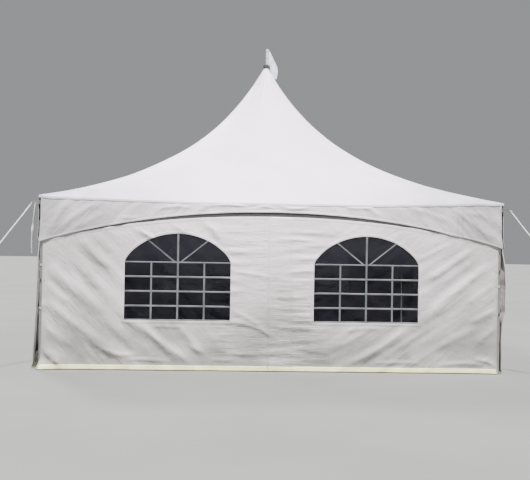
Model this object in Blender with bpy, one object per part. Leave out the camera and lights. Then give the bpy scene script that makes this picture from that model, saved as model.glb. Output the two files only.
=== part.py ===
"""High-peak marquee tent, six metres square, with arched windows and a pennant.

The tent stands on the ground plane, centred on the origin, with its front facing -Y. One side is modelled
facing -Y and turned about +Z for the other three, so every side is made by the same functions.
"""
import math

import bmesh
import bpy
from mathutils import Vector

# Fit between neighbouring pieces
GAP = 0.0003

# Corner posts, BAY_WIDTH between centres: tubes with a round foot plate, a closed head with a pin for the
# canopy's corner eyelet, and an ear for the guy strap
BAY_WIDTH = 5.904
POST_RADIUS = 0.038
POST_WALL = 0.003
POST_HEAD_THICKNESS = 0.012
PIN_RADIUS = 0.008
FOOT_RADIUS = 0.072
FOOT_THICKNESS = 0.008
EAR_REACH = 0.150
EAR_HEIGHT = 0.060
EAR_THICKNESS = 0.008
EAR_DROP = 0.040

# Fabric, modelled thicker than the real coated cloth
FABRIC = 0.005
FILM = 0.003

# Canopy: four gores between a round opening at the crown and a square eave
EAVE_HEIGHT = 2.215
CROWN_RISE = 2.386
CROWN_OPENING_RADIUS = 0.036
STRAIGHT_SHARE = 0.350
FLARE = 2.327
SPOUT_SHARE = 0.018
SPOUT_POWER = 60
SQUARING = 0.885
EAVE_SAG = 0.045
SAG_FADE = 10
GORE_ROWS = 11
GORE_COLUMNS = 8

# Valance: hangs from the eave, its lower edge arched between the corners
VALANCE_CLEARANCE = 0.0027
VALANCE_CORNER_SLIT = 0.020
VALANCE_DEPTH = 0.165
ARCH_FALL = 0.420
ARCH_POWER = 2.1
ARCH_STEPS = 16

# Arched rail behind the valance, from which the walls hang
RAIL_RADIUS = 0.030
RAIL_SHOW_MIDDLE = 0.062
RAIL_SHOW_CORNER = 0.013
WALL_HANG = 0.003

# Walls: two half sheets to a side, meeting at a seam
WALL_FOOT = 0.020
SEAM_OFFSET = -0.030

# Windows: one in each half sheet, arched above the spring line
WINDOW_CENTRE = 1.220
WINDOW_WIDTH = 1.360
WINDOW_SILL = 0.640
WINDOW_HEAD_DROP = 0.290
WINDOW_RISE = 0.370
WINDOW_FULLNESS = 1.42
WINDOW_STEPS = 18
FILM_LAP = 0.020

# King pole under the crown, and the crown casting that carries the canopy
KING_RADIUS = 0.038
KING_FOOT_RADIUS = 0.150
KING_FOOT_THICKNESS = 0.010
CROWN_SKIRT_REACH = 0.130
CROWN_SKIRT_THICKNESS = 0.007
CROWN_SEAT_MARGIN = 0.008
STEM_RADIUS = 0.029
COLLAR_RADIUS = 0.047
COLLAR_RISE = 0.052

# Flag pole and pennant
FLAG_POLE_RADIUS = 0.024
FLAG_POLE_LENGTH = 0.270
FLAG_POLE_OFFSET = 0.015
PENNANT_FLY = 0.154
PENNANT_DROP = 0.476
PENNANT_HEAD_GAP = 0.020
PENNANT_CLEARANCE = 0.020
PENNANT_THICKNESS = 0.006

# Guy straps and ground stakes, set out from the posts along both sides
STAKE_SETOUT = 1.348
STAKE_RADIUS = 0.016
STAKE_HEIGHT = 0.110
STAKE_HEAD_RADIUS = 0.026
STAKE_HEAD_THICKNESS = 0.012
STRAP_WIDTH = 0.030
STRAP_THICKNESS = 0.003
STRAP_FOOT_HEIGHT = 0.060

# Number of sides on round pieces
POST_SIDES = 24
RAIL_SIDES = 12
STAKE_SIDES = 12

# Worked out from the sizes above
HALF = BAY_WIDTH / 2
WALL_INNER = HALF + POST_RADIUS + GAP
WALL_OUTER = WALL_INNER + FABRIC
VALANCE_INNER = WALL_OUTER + VALANCE_CLEARANCE
EAVE_HALF = VALANCE_INNER + FABRIC
CROWN_HEIGHT = EAVE_HEIGHT + CROWN_RISE
ARCH_CROWN_HEIGHT = EAVE_HEIGHT - VALANCE_DEPTH
WINDOW_SPRING = ARCH_CROWN_HEIGHT - WINDOW_HEAD_DROP - WINDOW_RISE
POST_DIAGONAL = math.hypot(HALF, HALF)
STAKE_DIAGONAL = math.hypot(HALF + STAKE_SETOUT, HALF + STAKE_SETOUT)

# Each side: its name, and the names of its left and right halves as seen from outside
SIDES = (
    ("front", ("left", "right")),
    ("right", ("front", "back")),
    ("back", ("right", "left")),
    ("left", ("back", "front")),
)
CORNERS = ("front_left", "front_right", "back_right", "back_left")


def clear_scene():
    """Remove every object that the file opened with."""
    for item in list(bpy.data.objects):
        bpy.data.objects.remove(item, do_unlink=True)


def finish_material(name, colour, roughness, metallic=0.0):
    """Return a Principled material of one colour."""
    material = bpy.data.materials.new(name)
    material.use_nodes = True
    shader = material.node_tree.nodes["Principled BSDF"]
    shader.inputs["Base Color"].default_value = (*colour, 1.0)
    shader.inputs["Roughness"].default_value = roughness
    shader.inputs["Metallic"].default_value = metallic
    return material


def add_piece(name, mesh_builder, material, turn=0.0):
    """Link the mesh in mesh_builder as a named object, turned about +Z, with outward faces."""
    bmesh.ops.remove_doubles(mesh_builder, verts=mesh_builder.verts, dist=1e-6)
    bmesh.ops.recalc_face_normals(mesh_builder, faces=mesh_builder.faces)
    mesh = bpy.data.meshes.new(name)
    mesh_builder.to_mesh(mesh)
    mesh_builder.free()
    mesh.materials.append(material)
    piece = bpy.data.objects.new(name, mesh)
    piece.rotation_euler[2] = turn
    bpy.context.scene.collection.objects.link(piece)
    return piece


def shade_round(piece, angle=35.0):
    """Shade a turned piece smooth, keeping its corners sharp."""
    piece.data.shade_smooth()
    piece.data.set_sharp_from_angle(angle=math.radians(angle))


def cut(piece, cutter, operation):
    """Cut piece by cutter, or join cutter to it, and keep the cutter as a hidden guide."""
    cutter.hide_render = True
    cutter.display_type = "WIRE"
    boolean = piece.modifiers.new(operation.lower(), "BOOLEAN")
    boolean.operation = operation
    boolean.object = cutter


def prism(outline, near, far):
    """Return a solid with the given (x, z) outline, between y = near and y = far."""
    solid = bmesh.new()
    front = [solid.verts.new((x, near, z)) for x, z in outline]
    back = [solid.verts.new((x, far, z)) for x, z in outline]
    solid.faces.new(front)
    solid.faces.new(list(reversed(back)))
    count = len(outline)
    for i in range(count):
        j = (i + 1) % count
        solid.faces.new((front[j], front[i], back[i], back[j]))
    return solid


def rings_solid(rings, bottom=None, top=None):
    """Skin a stack of rings of points with triangles, closing each end with a fan or a flat face."""
    solid = bmesh.new()
    loops = [[solid.verts.new(point) for point in ring] for ring in rings]
    for lower, upper in zip(loops, loops[1:]):
        count = len(lower)
        for i in range(count):
            j = (i + 1) % count
            solid.faces.new((lower[i], lower[j], upper[i]))
            solid.faces.new((lower[j], upper[j], upper[i]))
    for loop, tip in ((loops[0], bottom), (loops[-1], top)):
        if tip is None:
            solid.faces.new(loop)
            continue
        apex = solid.verts.new(tip)
        for i, vert in enumerate(loop):
            solid.faces.new((vert, loop[(i + 1) % len(loop)], apex))
    return solid


def turned(profile, sides):
    """Turn a profile of (radius, height) pairs about +Z; its first and last pairs lie on the axis."""
    angles = [math.tau * i / sides for i in range(sides)]
    rings = [[(r * math.cos(a), r * math.sin(a), z) for a in angles] for r, z in profile[1:-1]]
    return rings_solid(rings, (0.0, 0.0, profile[0][1]), (0.0, 0.0, profile[-1][1]))


def arch_height(x):
    """Return the height of the valance's lower edge at x along a side."""
    return ARCH_CROWN_HEIGHT - ARCH_FALL * abs(x / EAVE_HALF) ** ARCH_POWER


def rail_underside(x):
    """Return the height of the rail's underside at x: it shows most at mid-span, least at the corners."""
    share = max(0.0, 1.0 - (x / HALF) ** 2) ** 1.5
    return arch_height(x) - RAIL_SHOW_CORNER - (RAIL_SHOW_MIDDLE - RAIL_SHOW_CORNER) * share


def rim_profile(t):
    """Return the canopy's height over the eave at t, from 0 at the crown opening to 1 at the eave.

    A straight slope, an exponential flare and a short steep spout at the crown share the rise.
    """
    flare = (math.exp(-FLARE * t) - math.exp(-FLARE)) / (1.0 - math.exp(-FLARE))
    spout = max(0.0, 1.0 - t) ** SPOUT_POWER
    flare_share = 1.0 - STRAIGHT_SHARE - SPOUT_SHARE
    return CROWN_RISE * (STRAIGHT_SHARE * (1.0 - t) + flare_share * flare + SPOUT_SHARE * spout)


def canopy_share(reach):
    """Return t where the middle of a gore is at the given distance from the tent's axis."""
    return (reach - CROWN_OPENING_RADIUS) / (EAVE_HALF - CROWN_OPENING_RADIUS)


def fabric_drop(t):
    """Return the canopy's thickness measured straight down at t, so that it is even along the slope."""
    step = 1e-4
    run = (EAVE_HALF - CROWN_OPENING_RADIUS) * step
    slope = (rim_profile(t - step) - rim_profile(t + step)) / (2 * run)
    return FABRIC * math.hypot(1.0, slope)


def canopy_point(t, angle):
    """Return the canopy's outer surface at t and at an angle from the middle of the front gore.

    The plan section is a superellipse, a circle at the crown and a square at the eave. Between the
    corners the eave sags, and the sag fades out up the slope.
    """
    radius = CROWN_OPENING_RADIUS + (EAVE_HALF - CROWN_OPENING_RADIUS) * t
    power = 1.0 / max(0.5 * max(0.0, 1.0 - t) ** SQUARING, 1e-6)
    across, out = math.sin(angle), math.cos(angle)
    longest = max(abs(across), abs(out))
    section = (abs(across) / longest) ** power + (abs(out) / longest) ** power
    scale = radius / (longest * section ** (1.0 / power))
    side_share = min(abs(across), abs(out)) / longest
    sag = EAVE_SAG * (1.0 - side_share ** 2) * t ** SAG_FADE
    return Vector((scale * across, -scale * out, EAVE_HEIGHT + rim_profile(t) - sag))


def gore_angles():
    """Return the angles of a gore's columns, crowded towards its two hips."""
    shares = [2.0 * column / GORE_COLUMNS - 1.0 for column in range(GORE_COLUMNS + 1)]
    return [math.pi / 4 * math.sin(share * math.pi / 2) for share in shares]


def crown_angles():
    """Return the angles of the gores' columns all the way round, so that the crown's facets match."""
    return [turn * math.pi / 2 + angle for turn in range(4) for angle in gore_angles()[:-1]]


def skirt_shares(start):
    """Return t from start to the skirt's edge, in steps that widen down the slope."""
    end = canopy_share(CROWN_OPENING_RADIUS + CROWN_SKIRT_REACH)
    return [start + (end - start) * step for step in (0.0, 0.25, 0.55, 1.0)]


def canopy_rows():
    """Return t for each row of the canopy: the crown skirt's rows, then rows crowded towards the eave."""
    rows = skirt_shares(0.0)
    edge = rows[-1]
    steps = [(1.0 - math.cos(math.pi * row / GORE_ROWS)) / 2 for row in range(1, GORE_ROWS + 1)]
    return rows + [edge + (1.0 - edge) * step for step in steps]


def hip_underside(reach):
    """Return the height of the canopy's underside on a hip, at x = y = reach, between its rows."""
    upper = None
    for t in canopy_rows():
        lower = canopy_point(t, math.pi / 4)
        lower.z -= fabric_drop(t)
        if upper is not None and upper.x <= reach <= lower.x:
            return upper.z + (lower.z - upper.z) * (reach - upper.x) / (lower.x - upper.x)
        upper = lower
    return upper.z


def skirt_ring(t, depth):
    """Return a ring of points under the canopy at t, at a depth measured square to the slope."""
    drop = Vector((0.0, 0.0, fabric_drop(t) * (1.0 + (depth + 2 * GAP) / FABRIC)))
    return [canopy_point(t, angle) - drop for angle in crown_angles()]


CORNER_SAG = EAVE_SAG * (1.0 - ((HALF - POST_RADIUS) / EAVE_HALF) ** 2)
POST_TOP = EAVE_HEIGHT - fabric_drop(1.0) - CORNER_SAG - GAP
PIN_TOP = hip_underside(HALF + PIN_RADIUS) - 2 * GAP
CROWN_SHOULDER = skirt_ring(0.0, 0.0)[0].z
KING_TOP_SHARE = canopy_share(KING_RADIUS + CROWN_SEAT_MARGIN)
KING_TOP = skirt_ring(KING_TOP_SHARE, CROWN_SKIRT_THICKNESS)[0].z - GAP
FLAG_POLE_TOP = CROWN_HEIGHT + COLLAR_RISE + GAP + FLAG_POLE_LENGTH
EAR_MIDDLE = POST_TOP - EAR_DROP - EAR_HEIGHT / 2


def gore_solid():
    """Return the front gore: triangles on a grid, doubled straight down and joined round the rim.

    Both skins share one triangulation, so the sheet never pinches. The hips are drawn in by half of
    the gap to the next gore.
    """
    solid = bmesh.new()
    outer, inner = [], []
    for t in canopy_rows():
        outer.append([])
        inner.append([])
        for angle in gore_angles():
            point = canopy_point(t, angle)
            limit = abs(point.y) - GAP * math.sqrt(0.5)
            point.x = max(-limit, min(limit, point.x))
            outer[-1].append(solid.verts.new(point))
            inner[-1].append(solid.verts.new(point - Vector((0.0, 0.0, fabric_drop(t)))))
    last = len(outer) - 1
    for row in range(last):
        for column in range(GORE_COLUMNS):
            for skin in (outer, inner):
                a, b = skin[row][column], skin[row][column + 1]
                c, d = skin[row + 1][column + 1], skin[row + 1][column]
                solid.faces.new((a, b, c))
                solid.faces.new((a, c, d))
    edges = [(row, 0) for row in range(last + 1)]
    edges += [(last, column) for column in range(1, GORE_COLUMNS + 1)]
    edges += [(row, GORE_COLUMNS) for row in range(last - 1, -1, -1)]
    edges += [(0, column) for column in range(GORE_COLUMNS - 1, 0, -1)]
    for (r0, c0), (r1, c1) in zip(edges, edges[1:] + edges[:1]):
        solid.faces.new((outer[r0][c0], outer[r1][c1], inner[r1][c1], inner[r0][c0]))
    return solid


def valance_solid():
    """Return the front valance: its head follows the sagging eave, its lower edge the arch."""
    end = EAVE_HALF - VALANCE_CORNER_SLIT
    places = [end * (2.0 * i / ARCH_STEPS - 1.0) for i in range(ARCH_STEPS + 1)]
    seat = EAVE_HEIGHT - fabric_drop(1.0) - GAP
    outline = [(x, arch_height(x)) for x in places]
    outline += [(x, seat - EAVE_SAG * (1.0 - (x / EAVE_HALF) ** 2)) for x in reversed(places)]
    return prism(outline, -EAVE_HALF, -VALANCE_INNER)


def rail_solid():
    """Return the front rail: a round section carried along the arch between two posts."""
    end = HALF - POST_RADIUS - GAP
    angles = [math.tau * i / RAIL_SIDES for i in range(RAIL_SIDES)]
    rings = []
    for i in range(ARCH_STEPS + 1):
        x = end * (2.0 * i / ARCH_STEPS - 1.0)
        middle = rail_underside(x) + RAIL_RADIUS
        rings.append([
            (x, -HALF + RAIL_RADIUS * math.cos(a), middle + RAIL_RADIUS * math.sin(a)) for a in angles
        ])
    return rings_solid(rings)


def wall_solid(half):
    """Return one half sheet of the front wall; half is -1 for the left one and 1 for the right."""
    seam = SEAM_OFFSET + half * GAP / 2
    end = half * HALF
    steps = ARCH_STEPS // 2
    places = [end + (seam - end) * i / steps for i in range(steps + 1)]
    outline = [(seam, WALL_FOOT), (end, WALL_FOOT)]
    outline += [(x, rail_underside(x) - WALL_HANG) for x in places]
    return prism(outline, -WALL_OUTER, -WALL_INNER)


def window_outline(half, lap=0.0):
    """Return a window's outline, made larger all round by lap."""
    reach = WINDOW_WIDTH / 2 + lap
    outline = []
    for i in range(WINDOW_STEPS + 1):
        turn = math.pi * (i / WINDOW_STEPS - 0.5)
        rise = (WINDOW_RISE + lap) * max(0.0, math.cos(turn)) ** WINDOW_FULLNESS
        outline.append((half * WINDOW_CENTRE + reach * math.sin(turn), WINDOW_SPRING + rise))
    outline.append((half * WINDOW_CENTRE + reach, WINDOW_SILL - lap))
    outline.append((half * WINDOW_CENTRE - reach, WINDOW_SILL - lap))
    return outline


def post_solid():
    """Return a post's tube, foot, head and canopy pin, turned about its own axis; its bore opens below."""
    bore = POST_RADIUS - POST_WALL
    bore_top = POST_TOP - POST_HEAD_THICKNESS
    return turned([
        (0.0, bore_top), (bore, bore_top), (bore, 0.0), (FOOT_RADIUS, 0.0), (FOOT_RADIUS, FOOT_THICKNESS),
        (POST_RADIUS, FOOT_THICKNESS), (POST_RADIUS, POST_TOP), (PIN_RADIUS, POST_TOP),
        (PIN_RADIUS, PIN_TOP), (0.0, PIN_TOP),
    ], POST_SIDES)


def ear_solid():
    """Return the ear that reaches out along +X from a post's axis, for the guy strap."""
    outline = [
        (POST_RADIUS / 2, EAR_MIDDLE - EAR_HEIGHT / 2), (EAR_REACH, EAR_MIDDLE - EAR_HEIGHT / 4),
        (EAR_REACH, EAR_MIDDLE + EAR_HEIGHT / 4), (POST_RADIUS / 2, EAR_MIDDLE + EAR_HEIGHT / 2),
    ]
    return prism(outline, -EAR_THICKNESS / 2, EAR_THICKNESS / 2)


def strap_solid():
    """Return a guy strap running out along +X from the ear's tip down to the stake, both measured from
    the tent's centre along the corner's diagonal."""
    start = POST_DIAGONAL + EAR_REACH + GAP
    end = STAKE_DIAGONAL - STAKE_RADIUS - GAP
    fall = EAR_MIDDLE - STRAP_FOOT_HEIGHT
    upright = STRAP_THICKNESS / 2 * math.hypot(1.0, fall / (end - start))
    outline = [
        (start, EAR_MIDDLE - upright), (end, STRAP_FOOT_HEIGHT - upright),
        (end, STRAP_FOOT_HEIGHT + upright), (start, EAR_MIDDLE + upright),
    ]
    return prism(outline, -STRAP_WIDTH / 2, STRAP_WIDTH / 2)


def stake_solid():
    """Return the part of a stake that stands above the ground, with its head."""
    neck = STAKE_HEIGHT - STAKE_HEAD_THICKNESS
    return turned([
        (0.0, 0.0), (STAKE_RADIUS, 0.0), (STAKE_RADIUS, neck), (STAKE_HEAD_RADIUS, neck),
        (STAKE_HEAD_RADIUS, STAKE_HEIGHT), (0.0, STAKE_HEIGHT),
    ], STAKE_SIDES)


def king_pole_solid():
    """Return the king pole with its foot plate; its bore opens underneath."""
    bore = KING_RADIUS - POST_WALL
    bore_top = KING_TOP - POST_HEAD_THICKNESS
    return turned([
        (0.0, bore_top), (bore, bore_top), (bore, 0.0), (KING_FOOT_RADIUS, 0.0),
        (KING_FOOT_RADIUS, KING_FOOT_THICKNESS), (KING_RADIUS, KING_FOOT_THICKNESS),
        (KING_RADIUS, KING_TOP), (0.0, KING_TOP),
    ], POST_SIDES)


def crown_solid():
    """Return the crown casting: a flared skirt that follows the canopy's underside and sits on the king
    pole, a stem through the canopy's opening, and a wider collar above it."""
    def hoop(radius, height):
        return [Vector((radius * math.sin(a), -radius * math.cos(a), height)) for a in crown_angles()]

    inside = [skirt_ring(t, CROWN_SKIRT_THICKNESS) for t in skirt_shares(KING_TOP_SHARE)]
    outside = [skirt_ring(t, 0.0) for t in reversed(skirt_shares(0.0))]
    rings = [hoop(KING_RADIUS, KING_TOP + GAP)] + inside + outside
    rings += [hoop(STEM_RADIUS, CROWN_SHOULDER), hoop(STEM_RADIUS, CROWN_HEIGHT + GAP)]
    rings += [hoop(COLLAR_RADIUS, CROWN_HEIGHT + GAP), hoop(COLLAR_RADIUS, CROWN_HEIGHT + COLLAR_RISE)]
    return rings_solid(rings)


def flag_pole_solid():
    """Return the short pole on the crown, with an eased top, turned about its own axis."""
    foot = CROWN_HEIGHT + COLLAR_RISE + GAP
    ease = FLAG_POLE_RADIUS / 4
    return turned([
        (0.0, foot), (FLAG_POLE_RADIUS, foot), (FLAG_POLE_RADIUS, FLAG_POLE_TOP - ease),
        (FLAG_POLE_RADIUS - ease, FLAG_POLE_TOP), (0.0, FLAG_POLE_TOP),
    ], STAKE_SIDES)


def pennant_solid():
    """Return the limp pennant, out along +X from the flag pole's axis.

    It is fixed down the pole, its fly falls almost straight, and its lower edge lies just clear of the
    canopy's slope.
    """
    top = FLAG_POLE_TOP - PENNANT_HEAD_GAP
    hoist = FLAG_POLE_RADIUS + GAP

    def clear_height(x):
        reach = x + FLAG_POLE_OFFSET
        if reach < COLLAR_RADIUS + PENNANT_CLEARANCE:
            return CROWN_HEIGHT + COLLAR_RISE + GAP
        return EAVE_HEIGHT + rim_profile(canopy_share(reach)) + PENNANT_CLEARANCE

    fly_edge = [(0.0, 0.0), (0.11, 0.03), (0.53, 0.30), (0.95, 0.58), (1.0, 0.72), (0.96, 0.85), (0.90, 0.97)]
    outline = [(hoist + PENNANT_FLY * reach, top - PENNANT_DROP * fall) for reach, fall in fly_edge]
    lower_edge = [hoist + PENNANT_FLY * reach for reach in (0.73, 0.55, 0.38, 0.12, 0.0)]
    outline += [(x, max(top - PENNANT_DROP, clear_height(x))) for x in lower_edge]
    return prism(outline, -PENNANT_THICKNESS / 2, PENNANT_THICKNESS / 2)


def build_side(index, name, halves, finishes):
    """Build one side: its gore, valance, rail, and two half sheets with their windows."""
    turn = index * math.pi / 2
    add_piece(f"roof_{name}", gore_solid(), finishes["canopy"], turn)
    add_piece(f"valance_{name}", valance_solid(), finishes["valance"], turn)
    shade_round(add_piece(f"arch_rail_{name}", rail_solid(), finishes["rail"], turn))
    for half, half_name in zip((-1, 1), halves):
        wall = add_piece(f"wall_{name}_{half_name}", wall_solid(half), finishes["wall"], turn)
        opening = prism(window_outline(half), -WALL_OUTER - FABRIC, -WALL_INNER + FABRIC)
        cutter = add_piece(f"cut_{name}_{half_name}", opening, finishes["wall"], turn)
        cut(wall, cutter, "DIFFERENCE")
        film = prism(window_outline(half, FILM_LAP), -WALL_INNER + GAP, -WALL_INNER + GAP + FILM)
        add_piece(f"window_{name}_{half_name}", film, finishes["film"], turn)


def build_corner(index, name, finishes):
    """Build one corner: the post with its ear, the guy strap and the stake."""
    turn = (index + 0.5) * math.pi / 2 + math.pi
    outward = Vector((math.cos(turn), math.sin(turn), 0.0))
    post = add_piece(f"post_{name}", post_solid(), finishes["post"])
    post.location = outward * POST_DIAGONAL
    shade_round(post)
    ear = add_piece(f"ear_{name}", ear_solid(), finishes["post"], turn)
    ear.location = post.location
    cut(post, ear, "UNION")
    add_piece(f"guy_strap_{name}", strap_solid(), finishes["strap"], turn)
    stake = add_piece(f"stake_{name}", stake_solid(), finishes["stake"], turn)
    stake.location = outward * STAKE_DIAGONAL
    shade_round(stake)


def main():
    """Build the whole tent."""
    clear_scene()
    finishes = {
        "canopy": finish_material("canopy_cloth", (0.86, 0.82, 0.86), 0.45),
        "valance": finish_material("valance_cloth", (0.74, 0.73, 0.75), 0.50),
        "wall": finish_material("wall_cloth", (0.78, 0.77, 0.78), 0.50),
        "film": finish_material("window_film", (0.03, 0.03, 0.05), 0.15),
        "rail": finish_material("rail_paint", (0.10, 0.09, 0.10), 0.50),
        "post": finish_material("post_metal", (0.42, 0.42, 0.39), 0.40, 1.0),
        "crown": finish_material("crown_casting", (0.08, 0.08, 0.08), 0.50),
        "flag_pole": finish_material("flag_pole_paint", (0.75, 0.75, 0.73), 0.40),
        "pennant": finish_material("pennant_cloth", (0.80, 0.86, 0.95), 0.60),
        "strap": finish_material("strap_webbing", (0.70, 0.70, 0.62), 0.80),
        "stake": finish_material("stake_steel", (0.35, 0.34, 0.33), 0.50, 1.0),
    }
    for index, (name, halves) in enumerate(SIDES):
        build_side(index, name, halves, finishes)
    for index, name in enumerate(CORNERS):
        build_corner(index, name, finishes)
    shade_round(add_piece("king_pole", king_pole_solid(), finishes["post"]))
    shade_round(add_piece("crown_collar", crown_solid(), finishes["crown"]))
    flag_pole = add_piece("flag_pole", flag_pole_solid(), finishes["flag_pole"])
    shade_round(flag_pole)
    pennant = add_piece("pennant", pennant_solid(), finishes["pennant"])
    for piece in (flag_pole, pennant):
        piece.location.x = FLAG_POLE_OFFSET


main()
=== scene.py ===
"""Looks of the high-peak marquee tent: cloth, clear films, trims and metalwork, in a plain studio.

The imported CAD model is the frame. Its cloth, film and webbing nodes are replaced by sheets worked out on
grids of two parameters, and its metal nodes keep their solids and get their finishes here. One side is
worked out facing -Y and turned about +Z for the other three. All lengths are in metres.
"""
from __future__ import annotations

import logging
import math
from dataclasses import dataclass, field, replace
from enum import Enum

import bpy
import numpy as np
from mathutils import Matrix, Vector

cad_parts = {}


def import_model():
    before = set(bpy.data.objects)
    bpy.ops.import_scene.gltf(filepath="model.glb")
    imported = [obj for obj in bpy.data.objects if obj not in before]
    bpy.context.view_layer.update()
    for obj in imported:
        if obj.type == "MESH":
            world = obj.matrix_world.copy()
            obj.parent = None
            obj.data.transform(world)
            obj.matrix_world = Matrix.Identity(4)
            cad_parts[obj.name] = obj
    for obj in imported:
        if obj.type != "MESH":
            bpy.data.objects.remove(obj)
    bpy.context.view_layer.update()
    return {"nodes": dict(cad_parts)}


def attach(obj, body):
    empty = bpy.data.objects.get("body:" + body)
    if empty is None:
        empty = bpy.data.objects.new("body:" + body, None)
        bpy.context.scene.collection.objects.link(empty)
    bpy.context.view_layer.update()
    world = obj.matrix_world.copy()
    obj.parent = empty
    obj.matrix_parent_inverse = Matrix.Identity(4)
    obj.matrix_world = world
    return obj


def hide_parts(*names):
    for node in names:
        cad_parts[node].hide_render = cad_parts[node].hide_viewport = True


LOG = logging.getLogger("marquee")
QUARTER = math.pi / 2
BODY = "root"
UP = np.array([0.0, 0.0, 1.0])
SIDEWAYS = np.array([0.0, 1.0, 0.0])
CLOTH_THICKNESS = 0.0018
WELD_RISE = 0.0024  # how far a weld's face stands out of the cloth
TRIM_SINK = 0.0020  # how far a trim's back lies inside the cloth
TRIM_ANGLE = 50.0  # degrees over which a trim's edges stay sharp
AXIS_RADIUS = 0.0001  # radius that stands for a turned solid's axis

Array = np.ndarray
Thing = bpy.types.Object
Material = bpy.types.Material
Socket = bpy.types.NodeSocket
Triple = tuple[float, float, float]
Colour = tuple[float, float, float]


class Place(Enum):
    """A side or a corner of the tent, by its number of quarter turns from the first."""

    @property
    def label(self) -> str:
        """Name as the nodes have it."""
        return self.name.lower()

    @property
    def turn(self) -> float:
        """Angle about +Z that its pieces are turned by, in radians."""
        return self.value * QUARTER

    def piece(self, kind: str) -> Piece:
        """Start a piece that is named for this place and turned to it."""
        return Piece(f"{kind}_{self.label}", self.turn)


class Side(Place):
    """A side of the tent, by its number of quarter turns from the front."""

    FRONT = 0
    RIGHT = 1
    BACK = 2
    LEFT = 3

    @property
    def halves(self) -> tuple[str, str]:
        """Names of the side's left and right halves, as seen from outside."""
        return {
            Side.FRONT: ("left", "right"), Side.RIGHT: ("front", "back"),
            Side.BACK: ("right", "left"), Side.LEFT: ("back", "front"),
        }[self]


class Corner(Place):
    """A corner of the tent, by its number of quarter turns from the front left one."""

    FRONT_LEFT = 0
    FRONT_RIGHT = 1
    BACK_RIGHT = 2
    BACK_LEFT = 3

    @property
    def turn(self) -> float:
        """Angle of the corner's outward diagonal from +X, in radians."""
        return (self.value + 0.5) * QUARTER + math.pi


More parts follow.
